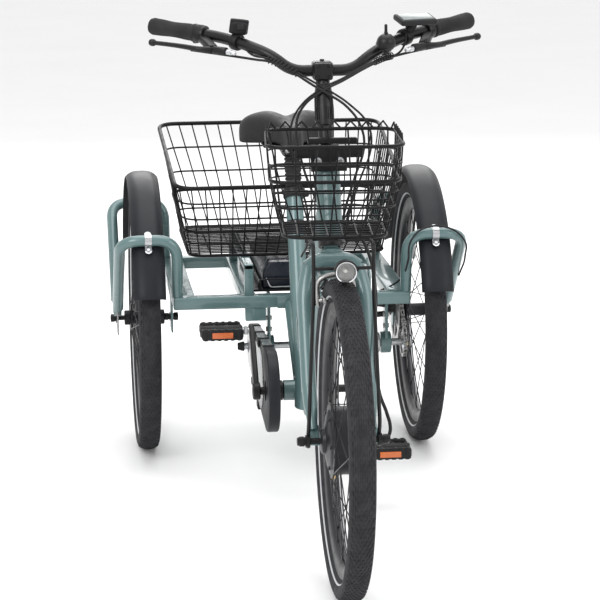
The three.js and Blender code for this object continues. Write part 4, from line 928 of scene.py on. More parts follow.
def ringAt(basket, t, bulge=0.0):
    # the ring round the basket at height share t, corners rounded, as a closed list
    low, top = basket["low"], basket["top"]
    zFront = low["z"] * (1 - t) + top["zFront"] * t
    zRear = low["z"] * (1 - t) + top["zRear"] * t
    front = low["front"] * (1 - t) + top["front"] * t - bulge
    rear = low["rear"] * (1 - t) + top["rear"] * t
    halfF = low["half"] * (1 - t) + top.get("halfFront", top["half"]) * t + bulge
    halfR = low["half"] * (1 - t) + top["half"] * t + bulge
    bend = basket["corner"]
    corners = [(-halfF, front, zFront), (halfF, front, zFront), (halfR, rear, zRear), (-halfR, rear, zRear)]
    path = []
    for i, (x, y, z) in enumerate(corners):
        here = Vector((x, y, z))
        before = Vector(corners[i - 1])
        after = Vector(corners[(i + 1) % 4])
        a = here + (before - here).normalized() * bend
        b = here + (after - here).normalized() * bend
        for k in range(7):
            u = k / 6
            path.append(a * (1 - u) ** 2 + here * 2 * u * (1 - u) + b * u ** 2)
    return [basket["place"](p) for p in path]


def alongRing(path, share):
    # a point a share of the way round a closed path
    lengths = [(path[(i + 1) % len(path)] - path[i]).length for i in range(len(path))]
    want = (share % 1.0) * sum(lengths)
    for i, step in enumerate(lengths):
        if want <= step:
            return path[i].lerp(path[(i + 1) % len(path)], want / step)
        want -= step
    return path[0]


def wallWires(basket, count, tLow, tHigh, radius, steps=4):
    # upright wires up the walls, following every ring
    parts = []
    rings = []
    for k in range(steps + 1):
        t = tLow + (tHigh - tLow) * k / steps
        rings.append(ringAt(basket, t, basket["bulge"] * math.sin(math.pi * t)))
    for i in range(count):
        parts.append(wire([alongRing(r, i / count) for r in rings], radius))
    return parts


rearBasket = {
    "low": {"front": 1.050, "rear": 1.440, "half": 0.220, "z": 0.472},
    "top": {"front": 0.985, "rear": 1.488, "half": 0.264, "halfFront": 0.252, "zFront": 0.635,
            "zRear": 0.714},
    "corner": 0.045, "bulge": 0.0, "place": lambda p: at(p.x, p.y, p.z), "wire": 0.0016, "rim": 0.0048,
}


def buildRearBasket():
    b = rearBasket
    parts = [tube(ringAt(b, 1.0), b["rim"], 0, 5, closed=True)]
    parts.append(tube(ringAt(b, 0.0), 0.0038, 0, 4, closed=True))
    for t in (0.18, 0.36, 0.54, 0.77):
        parts.append(tube(ringAt(b, t), 0.0036 if t == 0.36 else 0.0021, 0, 3, closed=True))
    parts += wallWires(b, 64, 0.0, 1.0, b["wire"], 2)
    low = b["low"]
    for i in range(1, 20):
        y = low["front"] + (low["rear"] - low["front"]) * i / 20
        parts.append(wire([at(-low["half"], y, low["z"] + 0.003), at(low["half"], y, low["z"] + 0.003)],
                          b["wire"]))
    for i in range(1, 9):
        x = -low["half"] + 2 * low["half"] * i / 9
        parts.append(wire([at(x, low["front"], low["z"] - 0.0002), at(x, low["rear"], low["z"] - 0.0002)],
                          0.0019))
    for x in (-0.096, 0.096):
        parts.append(wire([at(x, low["front"], low["z"] + 0.0005), at(x, low["rear"], low["z"] + 0.0005)],
                          0.0030, sides=3))
    finishPiece(glue(parts), "rear_basket_wires", "frame", finish["wirePaint"],
                ["rear_basket"])


frontTurn = Matrix.Rotation(math.radians(-4), 4, "Z")
frontPivot = Vector((0, 0.197, 0))


def placeFront(p):
    spun = frontTurn @ (p - frontPivot) + frontPivot
    return at(spun.x, spun.y, spun.z)


frontBasket = {
    "low": {"front": -0.012, "rear": 0.161, "half": 0.096, "z": 0.694},
    "top": {"front": -0.056, "rear": 0.197, "half": 0.122, "halfFront": 0.126, "zFront": 0.868,
            "zRear": 0.868},
    "corner": 0.042, "bulge": 0.006, "place": placeFront, "wire": 0.0017, "rim": 0.0036,
}


def buildFrontBasket():
    b = frontBasket
    parts = []
    rings = [(0.0, 0.0034), (0.17, 0.0017), (0.33, 0.0021), (0.50, 0.0017), (0.62, 0.0036), (0.80, 0.0017),
             (1.0, b["rim"])]
    for t, radius in rings:
        parts.append(tube(ringAt(b, t, b["bulge"] * math.sin(math.pi * t)), radius, 0, 3, closed=True))
    parts += wallWires(b, 24, 0.0, 1.0, b["wire"], 5)
    top = ringAt(b, 1.0)
    teeth = 30
    for i in range(teeth):
        share = (i + 0.15) / teeth
        foot = alongRing(top, share)
        if foot.y < at(0, -0.035, 0).y:
            continue
        peak = alongRing(top, share + 0.42 / teeth) + Vector((0, 0, 0.015))
        back = alongRing(top, share + 0.84 / teeth)
        parts.append(tube([foot, peak - Vector((0, 0, 0.001)), peak, back], 0.0017, 0.004, 2, 3))
    low = b["low"]
    for i in range(1, 7):
        y = low["front"] + (low["rear"] - low["front"]) * i / 7
        parts.append(wire([placeFront(Vector((x, y, low["z"]))) for x in (-low["half"], low["half"])],
                          b["wire"]))
    for i in range(1, 7):
        x = -low["half"] + 2 * low["half"] * i / 7
        parts.append(wire([placeFront(Vector((x, y, low["z"] + 0.003))) for y in (low["front"],
                                                                                  low["rear"])], b["wire"]))
    finishPiece(glue(parts), "front_basket_wires", "steering", finish["wirePaint"],
                ["front_basket"])


plate = {"y": 0.216, "z": 0.808, "wide": 0.070, "tall": 0.050, "thick": 0.006}


def buildBracket():
    y, z = plate["y"], plate["z"]
    face = box((plate["wide"], plate["thick"], plate["tall"]), at(0, y, z), 0.0018, 2)
    arm = box((0.132, 0.005, 0.024), at(0, y, z + 0.013), 0.0015, 2)
    ends = [turned([(0, -0.0025), (0.0112, -0.0025), (0.012, -0.0017), (0.012, 0.0017), (0.0112, 0.0025),
                    (0, 0.0025)],
                   at(side * 0.078, y, z + 0.013), (0, 1, 0), 32) for side in (-1, 1)]
    links = [box((0.030, 0.005, 0.024), at(side * 0.068, y, z + 0.013), 0.0004, 1) for side in (-1, 1)]
    # these forms overlap, so the exact boolean can leave a hole unopened
    whole = glue([arm] + ends + links)
    for side in (-1, 1):
        for offset in (0.068, 0.080):
            hole = tube([at(side * offset, y - 0.02, z + 0.013), at(side * offset, y + 0.02, z + 0.013)],
                        0.0029, 0, 5)
            whole = cutWith(whole, hole)
    axis = onSteer(0.820)
    depth = (axis.y - at(0, y, 0).y) - 0.010
    neck = box((0.034, depth, 0.022), Vector((0, at(0, y, 0).y + depth / 2 + 0.002, z + 0.015)), 0.003, 2)
    upper = box((0.096, 0.012, 0.012), at(0.008, y + 0.010, z + 0.033), 0.003, 2)
    collar = turned([(0.0194, 0), (0.0245, 0), (0.0252, 0.002), (0.0252, 0.012), (0.0245, 0.014),
                     (0.0194, 0.014)],
                    onSteer(0.8145), steerUp, 40, closed=True)
    finishPiece(glue([face, whole, neck, upper, collar]), "bracket_plate", "steering", finish["blackPaint"],
                ["basket_bracket"])
    heads = [turned([(0.0075, 0.0), (0.0075, 0.001), (0.0055, 0.0014), (0.0055, 0.0042), (0.0045, 0.005),
                     (0, 0.005),
                     (0, 0.0)], at(x, y - 0.003, z - 0.005), (0, -1, 0), 24) for x in (-0.0215, 0.0215)]
    finishPiece(glue(heads), "bracket_bolts", "steering", finish["steel"])


def buildStays():
    topZ = 0.6805
    parts = []
    for side in (-1, 1):
        parts.append(tube([at(side * 0.056, 0.060, topZ), at(side * 0.056, -0.014, topZ),
                           at(side * 0.056, -0.014, 0.596),
                           at(side * 0.067, -0.014, 0.339), at(side * 0.067, 0, 0.315)], 0.0038, 0.014, 5, 6))
        parts.append(ring(0.0071, 0.0132, 0.003, at(side * 0.067, 0, axleHeight), (1, 0, 0), 28,
                          (0.0007, 0.0008)))
    parts.append(tube([at(-0.056, -0.014, 0.636), at(0.056, -0.014, 0.636)], 0.0034, 0, 5))
    parts.append(box((0.112, 0.016, 0.004), at(0, 0.044, topZ + 0.001), 0.001, 2))
    parts.append(box((0.012, 0.060, 0.003), at(0, 0.020, topZ + 0.002), 0.001, 2))
    finishPiece(glue(parts), "basket_struts", "steering", finish["blackPaint"],
                ["basket_stays"])


def buildHeadlight():
    back = at(0, -0.0183, 0.636)
    ahead = Vector((0, -1, 0))
    shell = turned([(0, 0), (0.0120, 0), (0.0150, 0.004), (0.0190, 0.012), (0.0202, 0.020), (0.0208, 0.036),
                    (0.0200, 0.0372), (0.0182, 0.0372), (0.0180, 0.025), (0.010, 0.010), (0, 0.008)], back,
                   ahead, 48)
    visor = turned([(0.0203, 0.020), (0.0222, 0.024), (0.0226, 0.043), (0.0214, 0.0432), (0.0206, 0.036)],
                   back, ahead, 48,
                   closed=True)
    pick(visor)
    bpy.ops.object.mode_set(mode="EDIT")
    bpy.ops.mesh.select_all(action="SELECT")
    bpy.ops.mesh.bisect(plane_co=(0, back.y, 0.638), plane_no=(0, 0, 1), clear_inner=True, use_fill=True)
    bpy.ops.object.mode_set(mode="OBJECT")
    foot = box((0.012, 0.012, 0.020), at(0, -0.020, 0.618), 0.003, 2)
    finishPiece(glue([shell, visor, foot]), "lamp_shell", "steering", finish["plastic"],
                ["headlight_housing"])
    bowl = turned([(0.0178, 0.0355), (0.0172, 0.030), (0.0150, 0.022), (0.0110, 0.0155), (0.0055, 0.0125),
                   (0.0, 0.0120),
                   (0.0, 0.0112), (0.0060, 0.0115), (0.0120, 0.0148), (0.0158, 0.0215), (0.0180, 0.030),
                   (0.0184, 0.0355)], back, ahead, 48)
    rim = turned([(0.0176, 0.0352), (0.0196, 0.0366), (0.0196, 0.0388), (0.0176, 0.0392)], back, ahead, 48,
                 closed=True)
    finishPiece(glue([bowl, rim]), "lamp_reflector", "steering", finish["chrome"])
    bulb = turned([(0, 0.012), (0.0042, 0.0125), (0.0046, 0.020), (0.0032, 0.0245), (0, 0.0255)], back,
                  ahead, 24)
    finishPiece(bulb, "lamp_bulb", "steering", finish["lamp"])
    glass = turned([(0, 0.0395), (0.008, 0.0392), (0.0150, 0.0382), (0.0176, 0.0368), (0.0176, 0.0352),
                    (0, 0.0372)],
                   back, ahead, 48)
    finishPiece(glass, "lamp_glass", "steering", finish["lens"], ["headlight_lens"])


buildRearBasket()
buildFrontBasket()
buildBracket()
buildStays()
buildHeadlight()
print("baskets built")


# mudguards and clips

fender = {"radius": 0.337, "half": 0.036, "from": 18, "to": 160, "drop": 0.013, "wall": 0.0022}


def mudguardArch():
    # the sheet's section swept round the wheel, then given its wall
    f = fender
    first = math.radians(f["from"])
    count = 12
    places = []
    for k in range(count + 1):
        u = -1 + 2 * k / count
        r = f["radius"] + 0.0005 - f["drop"] * abs(u) ** 3.2
        places.append(Vector((u * f["half"], -r * math.cos(first), r * math.sin(first))))
    obj = drawLine(places)
    bpy.ops.mesh.spin(steps=56, angle=math.radians(f["to"] - f["from"]), center=(0, 0, 0), axis=(1, 0, 0))
    weldAndLeave()
    middleFace = obj.data.polygons[len(obj.data.polygons) // 2]
    if middleFace.normal.dot(middleFace.center) < 0:
        edit()
        bpy.ops.mesh.select_all(action="SELECT")
        bpy.ops.mesh.flip_normals()
        bpy.ops.object.mode_set(mode="OBJECT")
    thicken(obj, f["wall"])
    softenEdges(obj, 0.0006, 2)
    return obj


def buildGuardClip(name):
    low, high = (Vector(c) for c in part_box("fender_clip_" + name))
    mid = (low + high) / 2
    lean = Vector((0, high.y - low.y, high.z - low.z)).normalized()
    outward = Vector((0, -lean.z, lean.y)).normalized()
    strap = squareTube(mid - lean * 0.022, mid + lean * 0.022, 0.015, 0.0022, outward, 0.0009)
    if outward.y > 0:
        outward = -outward
    parts = [strap, ring(0.0127, 0.0141, 0.0075, at(mid.x, 0.9311, 0.5306), (1, 0, 0), 40)]
    for end in (-1, 1):
        parts.append(turned([(0, -0.0011), (0.0075, -0.0011), (0.0075, 0.0011), (0, 0.0011)],
                            mid + lean * end * 0.0215, outward, 24))
    for end in (-1, 1):
        parts.append(turned([(0.0048, 0), (0.0048, 0.0026), (0.0040, 0.0034), (0, 0.0034), (0, 0)],
                            mid + lean * end * 0.0195 + outward * 0.001, outward, 6))
    finishPiece(glue(parts), "guard_clip_" + name, "frame", finish["steel"],
                ["fender_clip_" + name])


def buildFenders():
    for name in sides:
        arch = moved(mudguardArch(), Matrix.Translation(rearAxle[name]))
        finishPiece(arch, "mudguard_" + name, "frame", finish["fender"], ["fender_" + name],
                    50)
        buildGuardClip(name)


buildFenders()
print("mudguards built")


# drive train

def beltOutline(y0, z0, r0, y1, z1, r1, steps=18):
    # outline round two circles, as [y, z] pairs from the front circle to the back one
    gap = math.hypot(y1 - y0, z1 - z0)
    lean = math.atan2(z1 - z0, y1 - y0)
    opening = math.acos((r0 - r1) / gap)
    points = []
    for k in range(steps + 1):
        a = lean + opening + (2 * math.pi - 2 * opening) * k / steps
        points.append((y0 + r0 * math.cos(a), z0 + r0 * math.sin(a)))
    for k in range(steps + 1):
        a = lean - opening + 2 * opening * k / steps
        points.append((y1 + r1 * math.cos(a), z1 + r1 * math.sin(a)))
    return points


def slab(outline, low, thickness, bevel=0.001):
    # an upright plate: outline of [y, z] pairs, its thickness along x
    return prism([at(low, y, z) for y, z in outline], (thickness, 0, 0), bevel)


drive = {"bbY": 0.720, "bbZ": 0.235, "shaftY": 1.128, "shaftZ": 0.245, "chainX": -0.070, "ring": 0.075,
         "cog": 0.038, "caseHalf": 0.0125, "caseGrow": 0.014, "crank": 0.152, "armX": 0.102, "angle": 47}


def buildChainCase():
    d = drive
    grow = d["caseGrow"]
    outline = beltOutline(d["bbY"], d["bbZ"], d["ring"] + grow, d["shaftY"], d["shaftZ"], d["cog"] + grow, 26)
    inline = beltOutline(d["bbY"], d["bbZ"], d["ring"] + grow - 0.0025, d["shaftY"], d["shaftZ"],
                         d["cog"] + grow - 0.0025, 26)
    low = d["chainX"] - d["caseHalf"]
    case = cutWith(slab(outline, low, 2 * d["caseHalf"], 0.004),
                   slab(inline, low + 0.0025, 2 * d["caseHalf"] - 0.005, 0))
    case = cutWith(case, across(low - 0.01, low + 0.04, d["bbY"], d["bbZ"], 0.0235, 9))
    case = cutWith(case, across(low - 0.01, low + 0.04, d["shaftY"], d["shaftZ"], 0.0125, 7))
    finishPiece(case, "chain_case_shell", "frame", finish["fender"], ["chain_case"])
    inner = beltOutline(0.835, 0.2385, 0.068, d["shaftY"], d["shaftZ"], 0.043, 26)
    plate = slab(inner, low - 0.0022, 0.0018, 0.0005)
    plate = cutWith(plate, across(low - 0.02, low + 0.01, d["shaftY"], d["shaftZ"], 0.0160, 7))
    finishPiece(plate, "chain_case_plate", "frame", finish["steel"])
    run = squareTube(at(d["chainX"], 0.780, 0.3205), at(d["chainX"], 1.100, 0.2985), 0.0205, 0.0022,
                     bevel=0.0006)
    finishPiece(run, "chain_case_top_plate", "frame", finish["steel"])
    clips = []
    for y, z in ((0.86, 0.311), (0.98, 0.303), (1.08, 0.292), (0.88, 0.167), (1.02, 0.186)):
        clips.append(box((0.007, 0.036, 0.016), at(low - 0.0010, y, z), 0.0015, 2))
    for y, z in ((0.775, 0.3205), (0.880, 0.3138), (0.985, 0.3066), (1.090, 0.2994)):
        clips.append(box((0.023, 0.010, 0.0050), at(d["chainX"], y, z), 0.0012, 2))
    cup = turned([(0.0098, 0), (0.0180, 0), (0.0215, 0.0015), (0.0215, 0.0095), (0.0175, 0.0105),
                  (0.0098, 0.0105)],
                 at(-0.0560, d["bbY"], d["bbZ"]), (1, 0, 0), 32, closed=True)
    finishPiece(cup, "bracket_cup", "frame", finish["blackPaint"])
    finishPiece(glue(clips), "chain_case_clips", "frame", finish["plastic"])


def buildCranks():
    d = drive
    a = math.radians(d["angle"])
    turn = (math.cos(a), math.sin(a))
    arms = {"right": (-1, 1), "left": (1, -1)}
    for name, (side, reach) in arms.items():
        endY = d["bbY"] + reach * d["crank"] * turn[0]
        endZ = d["bbZ"] + reach * d["crank"] * turn[1]
        outline = beltOutline(d["bbY"], d["bbZ"], 0.0165, endY, endZ, 0.0125, 14)
        arm = slab(outline, side * d["armX"] - 0.0058, 0.0116, 0.0028)
        arm = cutWith(arm, across(side * d["armX"] - 0.02, side * d["armX"] + 0.02, endY, endZ, 0.0072, 7))
        boss = turned([(0, -0.008), (0.017, -0.008), (0.0190, -0.006), (0.0190, 0.005), (0.0165, 0.0078),
                       (0.0100, 0.0078),
                       (0.0095, 0.0062), (0, 0.0062)], at(side * d["armX"], d["bbY"], d["bbZ"]),
                      (side, 0, 0), 40)
        parts = [arm, boss]
        stands = ["crank_arm_left"]
        if name == "right":
            parts.append(sprocket(d["ring"] - 0.001, 38, 0.003, at(d["chainX"], d["bbY"], d["bbZ"]), 0.012))
            parts.append(across(-0.100, 0.093, d["bbY"], d["bbZ"], 0.0085))
            stands = ["crankset"]
        finishPiece(glue(parts), "crank_" + name, "cranks", finish["blackPaint"], stands)
        buildPedal(name, side, endY, endZ)


def buildPedal(name, side, y, z):
    body = "pedal_" + name
    outer = 0.214
    inner = outer - 0.092
    mid = side * (outer + inner) / 2
    parts = [ring(0.0076, 0.0125, 0.046, at(mid, y, z), (1, 0, 0), 24, (0.001, 0.006))]
    for end in (-1, 1):
        parts.append(box((0.088, 0.011, 0.024), at(mid, y + end * 0.0375, z), 0.0025, 2))
        for k in range(6):
            x = mid - 0.036 + k * 0.0144
            parts.append(box((0.0095, 0.008, 0.0262), at(x, y + end * 0.0400, z), 0.0022, 2))
            for rise in (-1, 1):
                parts.append(box((0.004, 0.004, 0.004), at(x, y + end * 0.036, z + rise * 0.0122), 0.001, 1))
    for x in (-0.042, -0.014, 0.014, 0.042):
        rib = box((0.0075, 0.078, 0.0165), at(mid + x, y, z), 0.002, 2)
        parts.append(cutWith(rib, across(side * 0.10, side * 0.22, y, z, 0.0040)))
    axle = across(side * 0.096, side * (inner + 0.001), y, z, 0.0068)
    finishPiece(glue(parts), "pedal_body_" + name, body, finish["plastic"], [body])
    nut = turned([(0, 0), (0.0088, 0), (0.0098, 0.001), (0.0098, 0.0075), (0.0076, 0.009), (0, 0.009)],
                 at(side * 0.1105, y, z), (side, 0, 0), 6)
    finishPiece(glue([axle, nut]), "pedal_axle_" + name, body, finish["steel"])
    lights = [box((0.045, 0.0035, 0.0125), at(mid, y + end * 0.0442, z - 0.0010), 0.001, 2) for end in (-1,
                                                                                                        1)]
    finishPiece(glue(lights), "pedal_reflectors_" + name, body, finish["reflector"])


chainLink = {"pitch": 0.0127, "half": 0.0063, "round": 0.0040, "plateX": 0.0022, "roller": 0.0032}


def chainRun(outline, x, name, stands):
    # plates copied round the belt line, one each half inch, narrow and wide in turn
    c = chainLink
    loop = [at(x, y, z) for y, z in outline]
    around = sum((loop[(i + 1) % len(loop)] - loop[i]).length for i in range(len(loop)))
    count = 2 * round(around / (2 * c["pitch"]))
    shape = beltOutline(-c["half"], 0, c["round"], c["half"], 0, c["round"], 5)
    narrow = glue([slab(shape, side * c["plateX"] - 0.0005, 0.001, 0) for side in (-1, 1)])
    moved(narrow, Matrix.Translation(-at(0, 0, 0)))
    wide = moved(duplicate(narrow), Matrix.Diagonal((1.6, 1, 1, 1)))
    parts = []
    for k in range(count):
        here = alongRing(loop, k / count)
        there = alongRing(loop, (k + 1) / count)
        lean = math.atan2(there.z - here.z, there.y - here.y)
        spot = Matrix.Translation((here + there) / 2) @ Matrix.Rotation(lean, 4, "X")
        parts.append(moved(duplicate(narrow if k % 2 else wide), spot))
        reach = Vector((c["roller"], 0, 0))
        parts.append(tube([here - reach, here + reach], c["roller"], 0, 1))
    discard(narrow, wide)
    finishPiece(glue(parts), name, "frame", finish["zinc"], stands)


def buildShaft():
    d = drive
    y, z = d["shaftY"], d["shaftZ"]
    rod = turned([(0, -0.1075), (0.0080, -0.1075), (0.0080, 0.2785), (0.0070, 0.2790), (0, 0.2790)],
                 at(0, y, z),
                 (1, 0, 0), 32)
    flange = turned([(0.0080, 0.2080), (0.0140, 0.2080), (0.0150, 0.2100), (0.0230, 0.2100), (0.0240, 0.2108),
                     (0.0240, 0.2162), (0.0230, 0.2170), (0.0080, 0.2170)], at(0, y, z), (1, 0, 0), 40,
                    closed=True)
    parts = [rod, flange]
    for k in range(5):
        a = 2 * math.pi * k / 5
        parts.append(bolt(at(0.2100, y + 0.0185 * math.cos(a), z + 0.0185 * math.sin(a)), (-1, 0, 0), 0.0040,
                          0.0040))
    parts.append(sprocket(d["cog"] - 0.001, 20, 0.003, at(d["chainX"], y, z), 0.0078))
    parts.append(sprocket(0.029, 14, 0.003, at(0.2748, y, z), 0.0078))
    finishPiece(glue(parts), "cross_shaft", "jackshaft", finish["steel"], ["jackshaft"])
    cap = turned([(0, 0.0), (0.0070, 0.0), (0.0085, 0.0015), (0.0110, 0.0110), (0.0110, 0.0150),
                  (0.0, 0.0150)],
                 at(-0.1090, y, z), (1, 0, 0), 24)
    finishPiece(cap, "cross_shaft_cap", "jackshaft", finish["plastic"])
    chainRun(beltOutline(wheelbase, axleHeight, 0.0375, y, z, 0.0315, 24), 0.2748, "final_chain_links",
             ["final_chain"])
    paintPart("chain", finish["zinc"])


def buildBrakes():
    mid = middle("brake_calliper")
    body = box((0.0150, 0.050, 0.034), mid + Vector((0.001, 0.004, 0.006)), 0.005, 3)
    lobe = turned([(0, -0.010), (0.0150, -0.010), (0.0165, -0.008), (0.0165, 0.007), (0.0140, 0.010),
                   (0, 0.010)],
                  mid + Vector((0, -0.006, 0.0)), (1, 0, 0), 32)
    arm = squareTube(mid + Vector((-0.008, -0.004, 0.012)), mid + Vector((-0.012, -0.034, 0.006)), 0.010,
                     0.006, bevel=0.002)
    upper = tube([mid + Vector((-0.010, -0.030, 0.006)), mid + Vector((-0.060, -0.030, 0.012))], 0.0058, 0, 6)
    lower = tube([mid + Vector((-0.012, -0.020, -0.016)), mid + Vector((-0.050, -0.020, -0.018))], 0.0068, 0,
                 6)
    finishPiece(glue([body, lobe, arm, upper, lower]), "calliper_body", "frame", finish["blackPaint"],
                ["brake_calliper"])
    heads = [bolt(mid + Vector((-0.0075, dy, dz)), (-1, 0, 0), 0.0042) for dy,
             dz in ((0.018, 0.014), (0.018, -0.006))]
    finishPiece(glue(heads), "calliper_bolts", "frame", finish["zinc"])
    centre = rearAxle["left"]
    discX = centre.x - 0.0540
    parts = [ring(0.0620, 0.0790, 0.0009, Vector((discX, centre.y, centre.z)), (1, 0, 0), 64),
             turned([(0.0160, -0.0009), (0.0240, -0.0009), (0.0240, 0.0070), (0.0160, 0.0070)],
                           Vector((discX, centre.y, centre.z)), (1, 0, 0), 40, closed=True)]
    for k in range(6):
        a = 2 * math.pi * k / 6
        b = a + 0.5
        inner = Vector((discX, centre.y + 0.022 * math.cos(a), centre.z + 0.022 * math.sin(a)))
        outer = Vector((discX, centre.y + 0.064 * math.cos(b), centre.z + 0.064 * math.sin(b)))
        parts.append(squareTube(inner, outer, 0.0070, 0.0016, Vector((1, 0, 0)), 0.0004))
    finishPiece(glue(parts), "brake_rotor", "rear_wheel_left", finish["zinc"])


def axleNut(place, axis, radius=0.0105):
    return turned([(0.0055, 0), (radius * 1.25, 0), (radius * 1.25, 0.0015), (radius * 0.86, 0.0018),
                   (radius * 0.86, 0.0040),
                  (radius, 0.0045), (radius, 0.0120), (radius * 0.9, 0.0130), (radius * 0.62, 0.0132),
                   (0.0055, 0.0132)],
                  place, axis, 12, closed=True)


def buildAxles():
    for name, side in sides.items():
        c = rearAxle[name]
        low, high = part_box("rear_axle_" + name)
        parts = [tube([Vector((low[0] + 0.002, c.y, c.z)), Vector((high[0] - 0.002, c.y, c.z))], 0.0058, 0,
                      6)]
        for offset, way in ((-0.0645, -1), (0.0645, 1)):
            parts.append(axleNut(Vector((c.x + offset, c.y, c.z)), (way, 0, 0), 0.0095))
        parts.append(axleNut(Vector((c.x + 0.0593, c.y, c.z)), (-1, 0, 0), 0.0085))
        finishPiece(glue(parts), "rear_axle_nuts_" + name, "frame", finish["blackPaint"],
                    ["rear_axle_" + name])
    parts = [across(-0.086, 0.086, 0, axleHeight, 0.0058, 6)]
    for side in (-1, 1):
        parts.append(axleNut(at(side * 0.0708, 0, axleHeight), (side, 0, 0), 0.0098))
        parts.append(turned([(0, -0.002), (0.0086, -0.002), (0.0090, 0), (0.0078, 0.0015), (0.0078, 0.0030),
                             (0.0070, 0.0040),
                             (0, 0.0040)], at(side * 0.0840, 0, axleHeight), (side, 0, 0), 24))
    finishPiece(glue(parts), "front_axle_nuts", "steering", finish["blackPaint"],
                ["front_axle"])


buildChainCase()
buildCranks()
buildShaft()
buildBrakes()
buildAxles()
print("drive built")


# battery and small black box

def buildBattery():
    low, high = (Vector(c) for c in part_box("battery_pack"))
    half = high.x
    rise = high.z - low.z
    outline = [(-half, 0), (half, 0), (half, rise * 0.62), (half - 0.016, rise), (-half + 0.016, rise),
               (-half, rise * 0.62)]
    places = [Vector((x, low.y, low.z + z)) for x, z in outline]
    case = prism(places, (0, high.y - low.y, 0), 0.0035)
    for seamY in (low.y + 0.032, high.y - 0.040):
        seam = box((2 * half + 0.01, 0.0016, rise * 1.4), Vector((0, seamY, low.z + rise * 0.75)), 0.0002, 1)
        cutWith(case, seam)
    finishPiece(case, "battery_case", "frame", finish["gloss"], ["battery_pack"])
    front = low.y
    lock = turned([(0, 0.0), (0.0090, 0.0), (0.0090, 0.0015), (0.0065, 0.0022), (0, 0.0022)],
                  Vector((0.030, front, low.z + rise * 0.55)), (0, -1, 0), 28)
    latch = tube([Vector((-half + 0.008, front - 0.004, low.z + 0.024)),
                  Vector((-half + 0.016, front - 0.007, low.z + 0.004)),
                  Vector((half - 0.016, front - 0.007, low.z + 0.005))], 0.0017, 0.006, 4)
    finishPiece(glue([lock, latch]), "battery_latch", "frame", finish["steel"])
    paintPart("battery_tray", finish["blackPaint"])
    controller = box((0.046, 0.070, 0.024), at(0.165, 1.000, 0.352), 0.003, 2)
    ribs = [box((0.048, 0.003, 0.020), at(0.165, 0.975 + 0.010 * k, 0.352), 0.0006, 1) for k in range(6)]
    strap = box((0.012, 0.050, 0.020), at(0.165, 0.980, 0.366), 0.001, 1)
    finishPiece(glue([controller, strap] + ribs), "controller_box", "frame", finish["plastic"])
    bracket = slab([(0.962, 0.398), (0.990, 0.398), (1.020, 0.462), (1.012, 0.466), (0.962, 0.430)], 0.1740,
                   0.004, 0.001)
    finishPiece(bracket, "basket_bracket_plate", "frame", finish["teal"])


# seat

saddle = {"nose": 0.846, "rear": 1.103, "under": 0.7355, "top": 0.799, "dip": 0.013}


def buildSaddleCover():
    q = saddle
    deselect()
    bpy.ops.mesh.primitive_uv_sphere_add(segments=72, ring_count=40, radius=1, location=(0, 0, 0))
    obj = bpy.context.object
    length = q["rear"] - q["nose"]
    edge = q["under"] + 0.012
    for v in obj.data.vertices:
        x, y, z = v.co
        t = (math.sin(max(-1, min(1, y)) * math.pi / 2) + 1) / 2
        wide = 0.021 + 0.094 / (1 + math.exp(-(t - 0.60) * 11.5))
        close = max(0.0, 1 - abs(2 * t - 1) ** 7) ** 0.5
        girth = math.sqrt(max(0.0001, 1 - y * y))
        cx = math.copysign(abs(x / girth) ** 0.86, x)
        cz = z / girth
        px = cx * wide * close
        lobe = math.exp(-((t - 0.80) / 0.23) ** 2)
        if cz >= 0:
            crown = q["top"] - 0.006 + 0.006 * lobe - 0.008 * (1 - t) + 0.004 * math.cos(t * 9)
            valley = q["dip"] * lobe * math.exp(-(px / 0.027) ** 2)
            groove = 0.004 * math.exp(-(px / 0.010) ** 2) * (1 if t < 0.75 else 0.6)
            pz = edge + (crown - edge) * (cz ** 0.62) * close - (valley + groove) * cz
        else:
            pz = edge + (q["under"] - 0.004 - edge) * ((-cz) ** 0.4) * close - 0.012 * lobe * abs(cx) ** 3
        v.co = at(px, q["nose"] + t * length, pz)
    pick(obj)
    bpy.ops.object.mode_set(mode="EDIT")
    weldAndLeave()
    bpy.ops.object.modifier_add(type="SUBSURF")
    obj.modifiers[-1].levels = 1
    obj.modifiers[-1].render_levels = 1
    bpy.ops.object.modifier_apply(modifier=obj.modifiers[-1].name)
    finishPiece(obj, "saddle_cover", "saddle", finish["leather"], ["saddle"], 60)


def buildSaddleFrame():
    plateZ = saddle["under"] - 0.0065
    railTop, railLow = saddle["under"] - 0.006, saddle["under"] - 0.015
    parts = [box((0.120, 0.130, 0.006), at(0, 1.020, plateZ), 0.0025, 2),
             box((0.034, 0.130, 0.006), at(0, 0.925, plateZ), 0.0025, 2),
             box((0.046, 0.046, 0.016), onSeat(0.718) + Vector((0, 0.006, 0.004)), 0.004, 3),
             tube([onSeat(0.676), onSeat(0.714)], 0.0090, 0, 7)]
    for side in (-1, 1):
        parts.append(tube([at(side * 0.013, 0.872, railTop), at(side * 0.020, 0.895, railLow),
                           at(side * 0.020, 1.020, railLow), at(side * 0.030, 1.048, railTop)],
                          0.0037, 0.012, 5, 6))
    finishPiece(glue(parts), "saddle_frame", "saddle", finish["blackPaint"], ["saddle_clamp"])


bellows = {"start": 0.6455, "tall": 0.0800, "folds": 9, "valley": 0.0158, "ridge": 0.0182, "wall": 0.0010}


